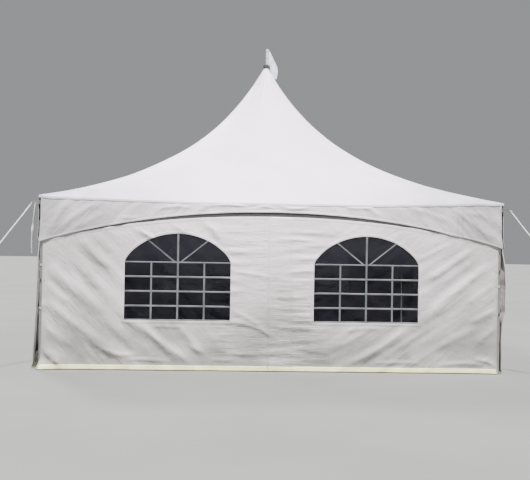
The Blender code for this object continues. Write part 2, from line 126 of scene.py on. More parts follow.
@dataclass(frozen=True)
class TentSizes:
    """The sizes that the solids are built from, and the curves that they follow."""

    half: float = 2.952
    post_radius: float = 0.038
    foot_thickness: float = 0.008
    ear_middle: float = 2.1366
    ear_reach: float = 0.150
    wall_middle: float = 2.9928
    film_middle: float = 2.9885
    valance_middle: float = 3.0005
    eave_half: float = 3.003
    eave_height: float = 2.215
    eave_sag: float = 0.045
    sag_fade: float = 10.0
    crown_rise: float = 2.386
    crown_opening: float = 0.036
    straight_share: float = 0.350
    flare: float = 2.327
    spout_share: float = 0.018
    spout_power: float = 60.0
    squaring: float = 0.885
    arch_crown: float = 2.050
    arch_fall: float = 0.420
    arch_power: float = 2.1
    rail_radius: float = 0.030
    rail_show_middle: float = 0.062
    rail_show_corner: float = 0.013
    wall_lap: float = 0.009
    wall_end: float = 2.938
    wall_foot: float = 0.010
    seam: float = -0.030
    window_centre: float = 1.220
    window_reach: float = 0.680
    window_sill: float = 0.640
    window_spring: float = 1.390
    window_rise: float = 0.370
    window_fullness: float = 1.42
    flag_pole_offset: float = 0.015
    flag_pole_radius: float = 0.024
    flag_pole_top: float = 4.9233
    stake_radius: float = 0.016
    strap_foot: float = 0.060
    strap_width: float = 0.030
    stake_setout: float = 1.348

    @property
    def post_diagonal(self) -> float:
        """Distance of a post's axis from the tent's axis."""
        return math.hypot(self.half, self.half)

    @property
    def stake_diagonal(self) -> float:
        """Distance of a stake's axis from the tent's axis."""
        return math.hypot(self.half + self.stake_setout, self.half + self.stake_setout)

    def arch(self, x: Array) -> Array:
        """Height of the valance's lower edge: the crown less a power of the share of the half side."""
        return self.arch_crown - self.arch_fall * np.abs(x / self.eave_half) ** self.arch_power

    def rail_underside(self, x: Array) -> Array:
        """Height of the rail's underside: the arch less what shows, most at mid-span."""
        share = np.maximum(0.0, 1.0 - (x / self.half) ** 2) ** 1.5
        return self.arch(x) - self.rail_show_corner - (self.rail_show_middle - self.rail_show_corner) * share

    def wall_top(self, x: Array) -> Array:
        """Height of the walls' upper edge, which laps a little over the rail."""
        return self.rail_underside(x) + self.wall_lap * (1.0 + 1.3 * (x / self.half) ** 2)

    def top_at(self, x: float) -> float:
        """Height of the walls' upper edge at one place."""
        return float(self.wall_top(np.array(x)))

    def eave(self, x: Array) -> Array:
        """Height of the eave: straight less a parabola's sag between the corners."""
        return self.eave_height - self.eave_sag * (1.0 - (x / self.eave_half) ** 2)

    def rim_profile(self, t: Array) -> Array:
        """Height over the eave, t from 0 at the crown to 1: a straight slope, a flare and a spout.

        Args:
            t: 0 at the crown to 1 at the eave.

        Returns:
            The height at each t.
        """
        flare = (np.exp(-self.flare * t) - math.exp(-self.flare)) / (1.0 - math.exp(-self.flare))
        spout = np.maximum(0.0, 1.0 - t) ** self.spout_power
        flare_share = 1.0 - self.straight_share - self.spout_share
        return self.crown_rise * (self.straight_share * (1.0 - t) + flare_share * flare
                                  + self.spout_share * spout)

    def plan_radius(self, t: Array) -> Array:
        """Radius of the canopy's plan section, growing evenly with t."""
        return self.crown_opening + (self.eave_half - self.crown_opening) * t

    def roundness(self, t: Array) -> Array:
        """Power of the plan section's superellipse: 2 at the crown, so high at the eave as to be square."""
        return 1.0 / np.maximum(0.5 * np.maximum(0.0, 1.0 - t) ** self.squaring, 1e-6)

    def canopy(self, t: Array, angle: Array) -> Array:
        """Point of the canopy's outer face at t and an angle from the front gore's middle.

        Each plan section is a superellipse, and the eave sags between the corners, the more the nearer
        t is to 1.

        Args:
            t: 0 at the crown to 1 at the eave.
            angle: turn round the tent from the front gore's middle, in radians.

        Returns:
            Points, in a last axis of 3.
        """
        radius = self.plan_radius(t)
        power = self.roundness(t)
        across, out = np.sin(angle), np.cos(angle)
        longest = np.maximum(np.abs(across), np.abs(out))
        section = (np.abs(across) / longest) ** power + (np.abs(out) / longest) ** power
        scale = radius / (longest * section ** (1.0 / power))
        share = np.minimum(np.abs(across), np.abs(out)) / longest
        sag = self.eave_sag * (1.0 - share ** 2) * t ** self.sag_fade
        return placed(scale * across, -scale * out, self.eave_height + self.rim_profile(t) - sag)

    def window_outline(self, half: int, count: int, lap: float = 0.0) -> Array:
        """Outline of a window, anticlockwise as seen from outside, from its lower left corner.

        Args:
            half: -1 for the left half of a side, 1 for the right half.
            count: points on each of the sill, the right jamb with its haunch, the arch, and the left.
            lap: how far the outline is made larger all round.

        Returns:
            An array of 4 * count (x, z) points, evenly spaced along each of the four runs.
        """
        reach, rise, sill = self.window_reach + lap, self.window_rise + lap, self.window_sill - lap
        turns = np.linspace(QUARTER, -QUARTER, 181)
        bow = np.maximum(0.0, np.cos(turns)) ** self.window_fullness
        arch = placed(reach * np.sin(turns), self.window_spring + rise * bow)
        low_left, low_right = np.array([[-reach, sill]]), np.array([[reach, sill]])
        runs = (
            np.concatenate([low_left, low_right]), np.concatenate([low_right, arch[:46]]),
            arch[45:136], np.concatenate([arch[135:], low_left]),
        )
        outline = np.concatenate([evenly(run, count) for run in runs])
        outline[:, 0] += half * self.window_centre
        return outline


def placed(*parts: Array | float) -> Array:
    """Points from their coordinates, each an array or one number for all."""
    return np.stack(np.broadcast_arrays(*parts), axis=-1)


def around(count: int) -> Array:
    """Angles evenly round a circle, from 0."""
    return np.linspace(0.0, math.tau, count, endpoint=False)


def running(line: Array) -> Array:
    """Length along a line of points, up to each of them."""
    return np.concatenate([[0.0], np.cumsum(np.linalg.norm(np.diff(line, axis=0), axis=1))])


def enclosed(outline: Array) -> float:
    """Area inside an outline of (x, z) points, by the shoelace rule."""
    x, z = outline[:, 0], outline[:, 1]
    return abs(float(np.sum(x * np.roll(z, -1) - z * np.roll(x, -1)))) / 2


def surface(grid: Array) -> float:
    """Area of a grid's quads: for each, half the length of the cross product of its diagonals."""
    diagonals = grid[1:, 1:] - grid[:-1, :-1], grid[1:, :-1] - grid[:-1, 1:]
    return float(np.sum(np.linalg.norm(np.cross(*diagonals), axis=-1))) / 2


def evenly(line: Array, count: int, crowd: float = 0.0) -> Array:
    """Points spaced along a line by its length, evenly or crowded towards one end, without its last point.

    Args:
        line: the points of a polyline, one a row.
        count: how many points to return.
        crowd: how much closer the last points stand than the middle ones, or, if negative, the first.

    Returns:
        An array of count points, the first of them the line's own first point.
    """
    steps = running(line)
    share = np.linspace(0.0, 1.0, count + 1)[:-1]
    wanted = steps[-1] * (share + crowd * share * (1.0 - share))
    return np.stack([np.interp(wanted, steps, line[:, axis]) for axis in range(line.shape[1])], axis=-1)


def eased(value: Array) -> Array:
    """Smooth step from 0 to 1 of a value clipped to that range."""
    share = np.clip(value, 0.0, 1.0)
    return share * share * (3.0 - 2.0 * share)


def spun(points: Array, angle: float) -> Array:
    """Points turned about +Z by an angle in radians."""
    cosine, sine = math.cos(angle), math.sin(angle)
    return points @ np.array([[cosine, sine, 0.0], [-sine, cosine, 0.0], [0.0, 0.0, 1.0]])


def unit(vectors: Array) -> Array:
    """Vectors scaled to unit length."""
    return vectors / np.maximum(np.linalg.norm(vectors, axis=-1, keepdims=True), 1e-12)


def grid_quads(rows: int, columns: int, wrap_rows: bool = False, wrap_columns: bool = False) -> Array:
    """Corner numbers of the quads between neighbouring points of a grid, one quad a row."""
    i = np.arange(rows if wrap_rows else rows - 1)[:, None]
    j = np.arange(columns if wrap_columns else columns - 1)[None, :]
    here, below, beside = i * columns, (i + 1) % rows * columns, (j + 1) % columns
    return placed(here + j, here + beside, below + beside, below + j).reshape(-1, 4)


class Piece:
    """One object's mesh in the making: grids and closed solids gathered, then built at the origin."""

    def __init__(self, name: str, turn: float = 0.0) -> None:
        """Start an empty piece.

        Args:
            name: the object's name.
            turn: angle about +Z that every point is turned by at the end.
        """
        self.name = name
        self.turn = turn
        self.points: list[Array] = []
        self.maps: list[Array] = []
        self.faces: list[list[int]] = []
        self.count = 0

    def add(self, points: Array, faces: list[list[int]], maps: Array | None = None,
            inside: Triple | None = None) -> None:
        """Add points and faces, with the faces turned to look away from a point.

        Args:
            points: an array of points, one a row.
            faces: corner numbers of each face, counted from the first of these points.
            maps: place of each point on the cloth, in metres, for the UV map.
            inside: the point that the faces look away from, or None for the middle of the points.
        """
        centre = points.mean(axis=0) if inside is None else np.array(inside)
        corners = points[np.array([face[:4] for face in faces])]
        normals = np.cross(corners[:, 2] - corners[:, 0], corners[:, 3] - corners[:, 1])
        if np.sum(normals * (corners.mean(axis=1) - centre)) < 0:
            faces = [face[::-1] for face in faces]
        self.faces += [[corner + self.count for corner in face] for face in faces]
        self.points.append(points)
        self.maps.append(points[:, [0, 2]] if maps is None else maps)
        self.count += len(points)

    def sheet(self, grid: Array, maps: Array, inside: Triple, wrap_columns: bool = False,
              crossed: Array | None = None) -> None:
        """Add an open sheet of cloth from a grid of points.

        Args:
            grid: an array of rows by columns by 3.
            maps: an array of rows by columns by 2 for the UV map.
            inside: the point that the faces look away from.
            wrap_columns: True where the last column joins the first.
            crossed: for each column of quads, whether they are cut along their other diagonal, so that
                the cut runs with the cloth's folds.
        """
        quads = grid_quads(grid.shape[0], grid.shape[1], False, wrap_columns)
        if crossed is not None:
            turned = np.tile(crossed, len(quads) // len(crossed))
            quads[turned] = np.roll(quads[turned], 1, axis=1)
        self.add(grid.reshape(-1, 3), quads.tolist(), maps.reshape(-1, 2), inside)

    def sweep(self, grid: Array, maps: Array | None = None, wrap: bool = False, bent: bool = False) -> None:
        """Add a closed solid from a grid whose rows are sections, each a closed ring of points.

        Args:
            grid: an array of sections by points by 3.
            maps: an array of sections by points by 2 for the UV map, or None.
            wrap: True where the last section joins the first, as in a ring.
            bent: True where a section bends, so that its ends are closed by quads from face to back.
        """
        rows, columns = grid.shape[:2]
        faces = grid_quads(rows, columns, wrap, True).tolist()
        last = (rows - 1) * columns
        if bent:
            rungs = [[j, j + 1, columns - 2 - j, columns - 1 - j] for j in range(columns // 2 - 1)]
            faces += [rung[::-1] for rung in rungs] + [[corner + last for corner in rung] for rung in rungs]
        elif not wrap:
            faces.append(list(range(columns - 1, -1, -1)))
            faces.append([last + column for column in range(columns)])
        self.add(grid.reshape(-1, 3), faces, None if maps is None else maps.reshape(-1, 2))

    def slab(self, base: Array, out: Array, rise: float, sink: float = TRIM_SINK, wrap: bool = False,
             bent: bool = False) -> None:
        """Add a strip that stands a little proud of a surface, with eased edges and a closed back.

        Args:
            base: grid of points on the surface, along the strip by across it.
            out: outward direction at each of those points, or one for all of them.
            rise: how far the strip's face stands out of the surface.
            sink: how far its back lies inside the surface.
            wrap: True where the strip joins its own start.
            bent: True where it bends across its width, so that its back has as many points as its face.
        """
        lifts = np.full(base.shape[:2], rise)
        lifts[:, [0, -1]] = rise * 0.2
        if not wrap:
            lifts[[0, -1]] = rise * 0.2
        out = np.broadcast_to(out, base.shape)
        face = base + out * lifts[..., None]
        behind = slice(None, None, -1) if bent else [-1, 0]
        back = base[:, behind] - out[:, behind] * sink
        grid = np.concatenate([face, back], axis=1)
        self.sweep(grid, placed(running(grid[0]), running(base[:, 0])[:, None]), wrap, bent)

    def carry(self, section: Array, path: Array, first: Array, second: Array, flat: int = 0) -> None:
        """Add a closed solid: a section of (first, second) offsets carried along a path.

        Args:
            section: the two offsets of each of the section's corners.
            path: points of the middle line.
            first: unit vectors that the first offsets run along, one for each point or one for all.
            second: unit vectors that the second offsets run along, likewise.
            flat: which of the two offsets runs across the cloth map.
        """
        first, second = np.broadcast_to(first, path.shape), np.broadcast_to(second, path.shape)
        grid = path[:, None] + first[:, None] * section[:, :1] + second[:, None] * section[:, 1:]
        self.sweep(grid, placed(section[:, flat], running(path)[:, None]))

    def tube(self, path: Array, radius: float, sides: int = 10, wrap: bool = False) -> None:
        """Add a round bar along a path: rings square to it, turned evenly from one to the next.

        Args:
            path: points of the bar's middle line.
            radius: the bar's radius.
            sides: how many corners each ring has.
            wrap: True where the bar joins its own start.
        """
        ahead = np.roll(path, -1, axis=0) - np.roll(path, 1, axis=0)
        if not wrap:
            ahead[0], ahead[-1] = path[1] - path[0], path[-1] - path[-2]
        ahead = unit(ahead)
        reference = UP if np.abs(ahead[:, 2]).max() < 0.95 else np.array([0.31, 0.95, 0.0])
        if np.abs(ahead @ unit(reference[None])[0]).max() > 0.95:
            reference = np.array([0.95, 0.31, 0.02])
        side = unit(np.cross(ahead, reference))
        lift = np.cross(side, ahead)
        turns = around(sides)[:, None]
        grid = path[:, None] + radius * (side[:, None] * np.cos(turns) + lift[:, None] * np.sin(turns))
        self.sweep(grid, None, wrap)

    def lathe(self, profile: list[tuple[float, float]], centre: Array, axis: Array, sides: int = 20,
              wrap: bool = False, crown: float = 0.0) -> None:
        """Add a turned solid: a profile of (radius, height) pairs carried round an axis.

        Args:
            profile: radii and heights along the axis, from one end's edge to the other's.
            centre: the point of the axis at height 0.
            axis: unit vector along the axis.
            sides: how many steps there are round it.
            wrap: True where the profile closes on itself, as a ring's does, and so has no ends.
            crown: how far the middle of the far end stands past its edge.
        """
        if not wrap:
            profile = [(AXIS_RADIUS, profile[0][1]), *profile, (AXIS_RADIUS, profile[-1][1] + crown)]
        other = np.array([1.0, 0.0, 0.0]) if abs(axis[0]) < 0.8 else SIDEWAYS
        side = unit(np.cross(axis, other)[None])[0]
        lift = np.cross(axis, side)
        turns = around(sides)
        spoke = side * np.cos(turns)[:, None] + lift * np.sin(turns)[:, None]
        pairs = np.array(profile)
        grid = centre + pairs[:, :1, None] * spoke[None] + pairs[:, 1:, None] * axis
        self.sweep(grid, None, wrap)

    def prism(self, outline: Array, along: Array) -> None:
        """Add an outline of points carried along a vector as a closed solid."""
        self.sweep(np.stack([outline, outline + along]))

    def build(self, material: Material, slot: str, thickness: float = 0.0,
              sharp: float | None = None, bevel: float = 0.0) -> Thing:
        """Make the object, which rides on the tent's body.

        Args:
            material: the finish that it wears.
            slot: the record's material slot that the finish belongs to; not used.
            thickness: thickness that an open sheet is given, half to each side.
            sharp: angle in degrees over which edges stay sharp, or None for smooth all over.
            bevel: width of the eased edges, or 0 for none.

        Returns:
            The new object, at the origin and unturned.
        """
        points = spun(np.concatenate(self.points), self.turn)
        mesh = bpy.data.meshes.new(self.name)
        mesh.from_pydata(points.tolist(), [], self.faces)
        corners = np.empty(len(mesh.loops), dtype=np.int32)
        mesh.loops.foreach_get("vertex_index", corners)
        layer = mesh.uv_layers.new(name="Cloth")
        layer.data.foreach_set("uv", np.concatenate(self.maps)[corners].astype(np.float32).ravel())
        mesh.shade_smooth()
        if sharp is not None:
            mesh.set_sharp_from_angle(angle=math.radians(sharp))
        mesh.materials.append(material)
        piece = bpy.data.objects.new(self.name, mesh)
        bpy.context.scene.collection.objects.link(piece)
        if thickness:
            solidify = piece.modifiers.new("cloth thickness", "SOLIDIFY")
            solidify.thickness = thickness
            solidify.offset = 0.0
        if bevel:
            ease = piece.modifiers.new("eased edges", "BEVEL")
            ease.width = bevel
            ease.segments = 2
            ease.limit_method = "ANGLE"
            ease.angle_limit = math.radians(40)
        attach(piece, BODY)
        LOG.info("%s: %d points, %d faces", self.name, len(points), len(self.faces))
        return piece


class Recipe:
    """A material's node tree, put together link by link on its Principled shader."""

    def __init__(self, name: str) -> None:
        """Start a material with its texture coordinates at hand.

        Args:
            name: the material's name.
        """
        self.material = bpy.data.materials.new(name)
        self.material.use_nodes = True
        self.tree = self.material.node_tree
        self.shader = self.tree.nodes["Principled BSDF"]
        coordinates = self.tree.nodes.new("ShaderNodeTexCoord")
        self.place = coordinates.outputs["Object"]
        self.cloth = coordinates.outputs["UV"]

    def put(self, kind: str, inputs: dict, **settings: object) -> bpy.types.Node:
        """Add a node, with sockets set or linked by name or number, and its own settings.

        Args:
            kind: the node's type.
            inputs: a value or another node's socket for each socket.
            settings: values of the node's own properties.

        Returns:
            The node.
        """
        node = self.tree.nodes.new(kind)
        for key, value in settings.items():
            setattr(node, key, value)
        for key, value in inputs.items():
            if isinstance(value, Socket):
                self.tree.links.new(value, node.inputs[key])
            else:
                node.inputs[key].default_value = value
        return node

    def noise(self, scale: float, detail: float = 3.0, stretch: Triple = (1.0, 1.0, 1.0),
              distortion: float = 0.0) -> Socket:
        """Noise from 0 to 1 over the piece's place, stretched along the axes."""
        mapping = self.put("ShaderNodeMapping", {"Vector": self.place, "Scale": stretch})
        return self.put("ShaderNodeTexNoise", {
            "Vector": mapping.outputs[0], "Scale": scale, "Detail": detail, "Distortion": distortion,
        }).outputs[0]

    def span(self, value: Socket, low: float, high: float, start: float = 0.0,
             end: float = 1.0) -> Socket:
        """Value from low to high made to run smoothly from start to end, and clipped."""
        return self.put("ShaderNodeMapRange", {
            "Value": value, "From Min": low, "From Max": high, "To Min": start, "To Max": end,
        }, interpolation_type="SMOOTHSTEP").outputs[0]

    def sum(self, first: object, second: object, kind: str = "ADD") -> Socket:
        """Two values added, or combined in another way of the Math node."""
        return self.put("ShaderNodeMath", {0: first, 1: second}, operation=kind).outputs[0]

    def blend(self, share: object, first: object, second: object) -> Socket:
        """Two colours mixed by a share."""
        sockets = {0: share}
        for index, colour in ((6, first), (7, second)):
            sockets[index] = (*colour, 1.0) if isinstance(colour, tuple) else colour
        return self.put("ShaderNodeMix", sockets, data_type="RGBA").outputs[2]

    def streaks(self, heading: float, length: float, width: float) -> Socket:
        """Noise from 0 to 1 over the cloth map, in streaks of a size in metres, at a heading in degrees.

        Args:
            heading: the streaks' direction on the map, in degrees.
            length: their length in metres.
            width: their width in metres.

        Returns:
            The noise's socket.
        """
        turned = (0.0, 0.0, math.radians(heading))
        mapping = self.put("ShaderNodeMapping", {
            "Vector": self.cloth, "Rotation": turned, "Scale": (length, width, 1.0),
        }, vector_type="TEXTURE")
        return self.put("ShaderNodeTexNoise", {
            "Vector": mapping.outputs[0], "Scale": 1.0, "Detail": 1.0, "Distortion": 0.5,
        }).outputs[0]

    def between(self, share: object, first: object, second: object) -> Socket:
        """Two values mixed by a share."""
        return self.put("ShaderNodeMix", {0: share, 2: first, 3: second}).outputs[0]

    def bands(self, pitch: float, axis: str) -> Socket:
        """Even bands from 0 to 1 across an axis of the cloth map, a pitch in metres apart."""
        return self.put("ShaderNodeTexWave", {
            "Vector": self.cloth, "Scale": math.tau / (20.0 * pitch), "Detail": 0.0,
        }, bands_direction=axis).outputs["Fac"]

    def height(self) -> Socket:
        """Height over the ground in metres."""
        return self.put("ShaderNodeSeparateXYZ", {0: self.place}).outputs[2]

    def bump(self, height: Socket, distance: float, strength: float = 1.0,
             under: Socket | None = None) -> Socket:
        """Surface normal bent by a height of a distance in metres."""
        inputs = {"Height": height, "Distance": distance, "Strength": strength}
        if under is not None:
            inputs["Normal"] = under
        return self.put("ShaderNodeBump", inputs).outputs[0]

    def finish(self, colour: object, roughness: object, normal: Socket | None = None,
               **constants: float) -> Material:
        """Join the colour, roughness and normal to the shader, and set its constant sockets.

        Args:
            colour: a colour or a socket.
            roughness: a number or a socket.
            normal: the socket of the normal, or None for a plain face.
            constants: values of other sockets, by name.

        Returns:
            The material.
        """
        for key, value in (("Base Color", colour), ("Roughness", roughness)):
            if isinstance(value, Socket):
                self.tree.links.new(value, self.shader.inputs[key])
            else:
                self.shader.inputs[key].default_value = (*value, 1.0) if isinstance(value, tuple) else value
        if normal is not None:
            self.tree.links.new(normal, self.shader.inputs["Normal"])
        for key, value in constants.items():
            self.shader.inputs[key.replace("_", " ").title().replace("Ior", "IOR")].default_value = value
        return self.material


@dataclass(frozen=True)
class CoatedCloth:
    """Coated white cloth: clouded tint, rain streaks, splash dirt near the ground, creases, a fine weave, and
    painted shade towards the ground and the corners.
    """

    name: str
    colour: Colour
    clouded: Colour
    dirt: Colour = (0.42, 0.37, 0.28)
    dirt_height: float = 0.32
    dirt_share: float = 0.30
    crease: float = 0.0022
    roughness: float = 0.46
    # Painted shade: the colour that the cloth darkens to towards the ground and the corners, and how far it
    # goes at each.
    aged: Colour | None = None
    aged_low: float = 0.94
    aged_far: float = 0.64
    rib: float = 0.0
    streak_slants: tuple[float, float] | None = None
    streak_height: float = 0.0080

    def make(self) -> Material:
        """Material of the cloth.

        Returns:
            The material, with its nodes joined.
        """
        recipe = Recipe(self.name)
        clouds = recipe.span(recipe.noise(0.8, 3.0, distortion=0.4), 0.35, 0.68)
        mottle = recipe.span(recipe.noise(17.0, 6.0), 0.42, 0.72, 0.0, 0.35)
        streaks = recipe.span(recipe.noise(1.0, 4.0, stretch=(11.0, 11.0, 0.8)), 0.50, 0.78, 0.0, 0.30)
        splash = recipe.sum(recipe.span(recipe.height(), self.dirt_height, 0.0),
                            recipe.span(recipe.noise(6.0, 6.0), 0.40, 0.66), "MULTIPLY")
        colour = recipe.blend(mottle, recipe.blend(clouds, self.colour, self.clouded), self.clouded)
        # Painted shade: the cloth darkens towards the ground and the corners.
        if self.aged is not None:
            colour = recipe.blend(self.age(recipe), colour, self.aged)
        colour = recipe.blend(recipe.sum(streaks, 0.35, "MULTIPLY"), colour, self.dirt)
        colour = recipe.blend(recipe.sum(splash, self.dirt_share, "MULTIPLY"), colour, self.dirt)
        crumple = recipe.sum(recipe.noise(6.5, 2.0, distortion=0.25),
                             recipe.sum(recipe.noise(21.0, 2.0), 0.25, "MULTIPLY"))
        bent = recipe.bump(crumple, self.crease * 4.0)
        if self.rib:
            bent = recipe.bump(recipe.bands(self.rib, "Y"), 0.00012, 0.5, bent)
        else:
            weave = recipe.sum(recipe.bands(0.0032, "X"), recipe.bands(0.0032, "Y"))
            bent = recipe.bump(weave, 0.00006, 0.5, bent)
        if self.streak_slants is not None:
            bent = recipe.bump(self.drawn(recipe), self.streak_height, 1.0, bent)
        rough = recipe.span(recipe.noise(3.0, 4.0), 0.3, 0.7, self.roughness - 0.05, self.roughness + 0.09)
        return recipe.finish(colour, rough, bent)

    def drawn(self, recipe: Recipe) -> Socket:
        """Height of fine streaks: slanting on the left, level in the middle, and slanting on the right.

        Args:
            recipe: the material that the nodes go into.

        Returns:
            The height's socket.
        """
        across = recipe.put("ShaderNodeSeparateXYZ", {0: recipe.cloth}).outputs[0]
        left, right = (recipe.streaks(slant, 0.26, 0.050) for slant in self.streak_slants)
        level = recipe.streaks(0.0, 0.22, 0.034)
        total = recipe.between(recipe.span(across, 0.5, 1.1), recipe.between(
            recipe.span(across, -1.1, -0.5), left, level), right)
        strength = recipe.span(recipe.noise(1.3, 2.0), 0.35, 0.65, 0.25, 1.0)
        return recipe.sum(recipe.sum(total, 0.5, "SUBTRACT"), strength, "MULTIPLY")

    def age(self, recipe: Recipe) -> Socket:
        """How far the cloth is painted darker, as painted shade: more towards the ground and the corners, in
        soft patches.

        Args:
            recipe: the material that the nodes go into.

        Returns:
            The socket of a share from 0 to 1.
        """
        low = recipe.span(recipe.height(), 1.95, 0.15, 0.0, self.aged_low)
        parts = recipe.put("ShaderNodeSeparateXYZ", {0: recipe.place}).outputs
        corner = recipe.put("ShaderNodeMath", {0: recipe.sum(parts[0], parts[1], "MULTIPLY")},
                            operation="ABSOLUTE").outputs[0]
        far = recipe.span(corner, 1.5, 8.0, 0.0, self.aged_far)
        either = recipe.put("ShaderNodeMath", {0: low, 1: far, 2: 0.3}, operation="SMOOTH_MAX").outputs[0]
        patches = recipe.span(recipe.noise(1.6, 3.0, distortion=0.3), 0.3, 0.7, 0.75, 1.10)
        return recipe.put("ShaderNodeMath", {0: either, 1: patches}, operation="MULTIPLY",
                          use_clamp=True).outputs[0]


@dataclass(frozen=True)
class WeldedHem:
    """A doubled or welded edge of the cloth, with the fine ribs that the welding wheel presses in."""

    name: str
    colour: Colour
    worn: Colour
    roughness: float = 0.40

    def make(self) -> Material:
        """Material of the hem.

        Returns:
            The material, with its nodes joined.
        """
        recipe = Recipe(self.name)
        wear = recipe.span(recipe.noise(7.0, 6.0), 0.45, 0.75, 0.0, 0.7)
        splash = recipe.sum(recipe.span(recipe.height(), 0.10, 0.0),
                            recipe.span(recipe.noise(11.0, 6.0), 0.48, 0.74), "MULTIPLY")
        colour = recipe.blend(wear, self.colour, self.worn)
        colour = recipe.blend(recipe.sum(splash, 0.35, "MULTIPLY"), colour, (0.40, 0.36, 0.27))
        bent = recipe.bump(recipe.noise(24.0, 4.0), 0.003)
        bent = recipe.bump(recipe.bands(0.006, "Y"), 0.00012, 0.6, bent)
        return recipe.finish(colour, recipe.span(wear, 0.0, 1.0, self.roughness, self.roughness + 0.12), bent)


@dataclass(frozen=True)
class ClearFilm:
    """Clear window film that looks dark from outside: a smoky tint with painted shade of the dim inside,
    rippled, a little scuffed, and painted lighter towards the top.
    """

    name: str = "clear film"
    # Near black: a smoky tint and painted shade of the dim inside seen through the film.
    colour: Colour = (0.0035, 0.0032, 0.0060)
    haze_and_upper_light: Colour = (0.022, 0.021, 0.029)
    opacity: float = 0.68

    def make(self) -> Material:
        """Material of the film.

        Returns:
            The material, with its nodes joined.
        """
        recipe = Recipe(self.name)
        haze = recipe.span(recipe.noise(4.0, 5.0, stretch=(1.0, 1.0, 1.6)), 0.42, 0.75, 0.0, 0.45)
        # Painted light: the film is made lighter towards the top of the window.
        painted_upper_light = recipe.span(recipe.height(), 1.15, 1.60, 0.0, 0.85)
        colour = recipe.blend(recipe.sum(haze, painted_upper_light, "MAXIMUM"), self.colour, self.haze_and_upper_light)
        scuffs = recipe.span(recipe.noise(3.0, 8.0, stretch=(14.0, 14.0, 1.2)), 0.55, 0.80)
        bent = recipe.bump(recipe.noise(3.2, 2.0, distortion=0.5), 0.006)
        return recipe.finish(colour, recipe.span(scuffs, 0.0, 1.0, 0.10, 0.30), bent,
                             alpha=self.opacity, specular_ior_level=0.28)


@dataclass(frozen=True)
class WindowBar:
    """A flat strip welded across a window: pale and slightly uneven."""

    name: str = "window bar"
    colour: Colour = (0.100, 0.106, 0.116)
    faded: Colour = (0.155, 0.160, 0.167)

    def make(self) -> Material:
        """Material of the strip.

        Returns:
            The material, with its nodes joined.
        """
        recipe = Recipe(self.name)
        patches = recipe.span(recipe.noise(5.0, 5.0), 0.38, 0.66)
        colour = recipe.blend(patches, self.colour, self.faded)
        bent = recipe.bump(recipe.bands(0.005, "Y"), 0.00008, 0.5)
        return recipe.finish(colour, recipe.span(patches, 0.0, 1.0, 0.34, 0.48), bent)


@dataclass(frozen=True)
class BareMetal:
    """Bare tube or forged metal: drawn streaks along its length, dull blotches and small knocks."""

    name: str
    colour: Colour
    dull: Colour
    metallic: float = 1.0
    roughness: float = 0.36
    stretch: Triple = (60.0, 60.0, 1.5)

    def make(self) -> Material:
        """Material of the metal.

        Returns:
            The material, with its nodes joined.
        """
        recipe = Recipe(self.name)
        streaks = recipe.noise(1.0, 6.0, stretch=self.stretch)
        blotches = recipe.span(recipe.noise(9.0, 6.0, distortion=0.5), 0.46, 0.70)
        muddy = recipe.span(recipe.height(), 0.22, 0.0, 0.0, 0.6)
        colour = recipe.blend(recipe.span(streaks, 0.35, 0.65, 0.0, 0.5), self.colour, self.dull)
        colour = recipe.blend(blotches, colour, self.dull)
        colour = recipe.blend(recipe.sum(muddy, blotches, "MULTIPLY"), colour, (0.16, 0.13, 0.09))
        knocks = recipe.span(recipe.noise(70.0, 3.0), 0.60, 0.72)
        bent = recipe.bump(recipe.sum(streaks, recipe.sum(knocks, -0.7, "MULTIPLY")), 0.0006)
        rough = recipe.span(blotches, 0.0, 1.0, self.roughness, self.roughness + 0.22)
        return recipe.finish(colour, rough, bent, metallic=self.metallic)


@dataclass(frozen=True)
class SatinPaint:
    """Satin paint on metal: a faint orange-peel skin, rubbed lighter in places."""

    name: str
    colour: Colour
    rubbed: Colour
    roughness: float = 0.45

    def make(self) -> Material:
        """Material of the paint.

        Returns:
            The material, with its nodes joined.
        """
        recipe = Recipe(self.name)
        rubs = recipe.span(recipe.noise(13.0, 7.0, distortion=0.7), 0.54, 0.72)
        clouds = recipe.noise(2.1, 3.0)
        lighter = recipe.sum(recipe.span(clouds, 0.3, 0.7, 0.0, 0.35), recipe.sum(rubs, 0.6, "MULTIPLY"))
        colour = recipe.blend(lighter, self.colour, self.rubbed)
        bent = recipe.bump(recipe.noise(260.0, 2.0), 0.0002)
        return recipe.finish(colour, recipe.span(rubs, 0.0, 1.0, self.roughness, self.roughness + 0.2), bent)


@dataclass(frozen=True)
class Webbing:
    """Woven strap: ribs across it, two darker selvedge lines, and grime."""

    name: str
    colour: Colour
    grimy: Colour

    def make(self) -> Material:
        """Material of the webbing.

        Returns:
            The material, with its nodes joined.
        """
        recipe = Recipe(self.name)
        ribs = recipe.bands(0.0035, "Y")
        cords = recipe.bands(0.0060, "X")
        grime = recipe.span(recipe.noise(16.0, 6.0), 0.44, 0.72)
        colour = recipe.blend(recipe.sum(grime, 0.75, "MULTIPLY"), self.colour, self.grimy)
        colour = recipe.blend(recipe.span(ribs, 0.0, 0.5, 0.30, 0.0), colour, self.grimy)
        bent = recipe.bump(recipe.sum(ribs, recipe.sum(cords, 0.6, "MULTIPLY")), 0.0008)
        return recipe.finish(colour, recipe.span(grime, 0.0, 1.0, 0.78, 0.92), bent, sheen_weight=0.15)


@dataclass(frozen=True)
class ThinCloth:
    """Light woven cloth of the pennant, with a plain weave and soft clouding."""

    name: str = "pennant cloth"
    colour: Colour = (0.74, 0.82, 0.93)
    shaded: Colour = (0.58, 0.64, 0.74)

    def make(self) -> Material:
        """Material of the cloth.

        Returns:
            The material, with its nodes joined.
        """
        recipe = Recipe(self.name)
        clouds = recipe.span(recipe.noise(9.0, 4.0), 0.35, 0.70)
        colour = recipe.blend(clouds, self.colour, self.shaded)
        weave = recipe.sum(recipe.bands(0.0016, "X"), recipe.bands(0.0016, "Y"))
        bent = recipe.bump(weave, 0.0003, 0.7, recipe.bump(recipe.noise(40.0, 3.0), 0.003))
        return recipe.finish(colour, 0.72, bent, sheen_weight=0.2)


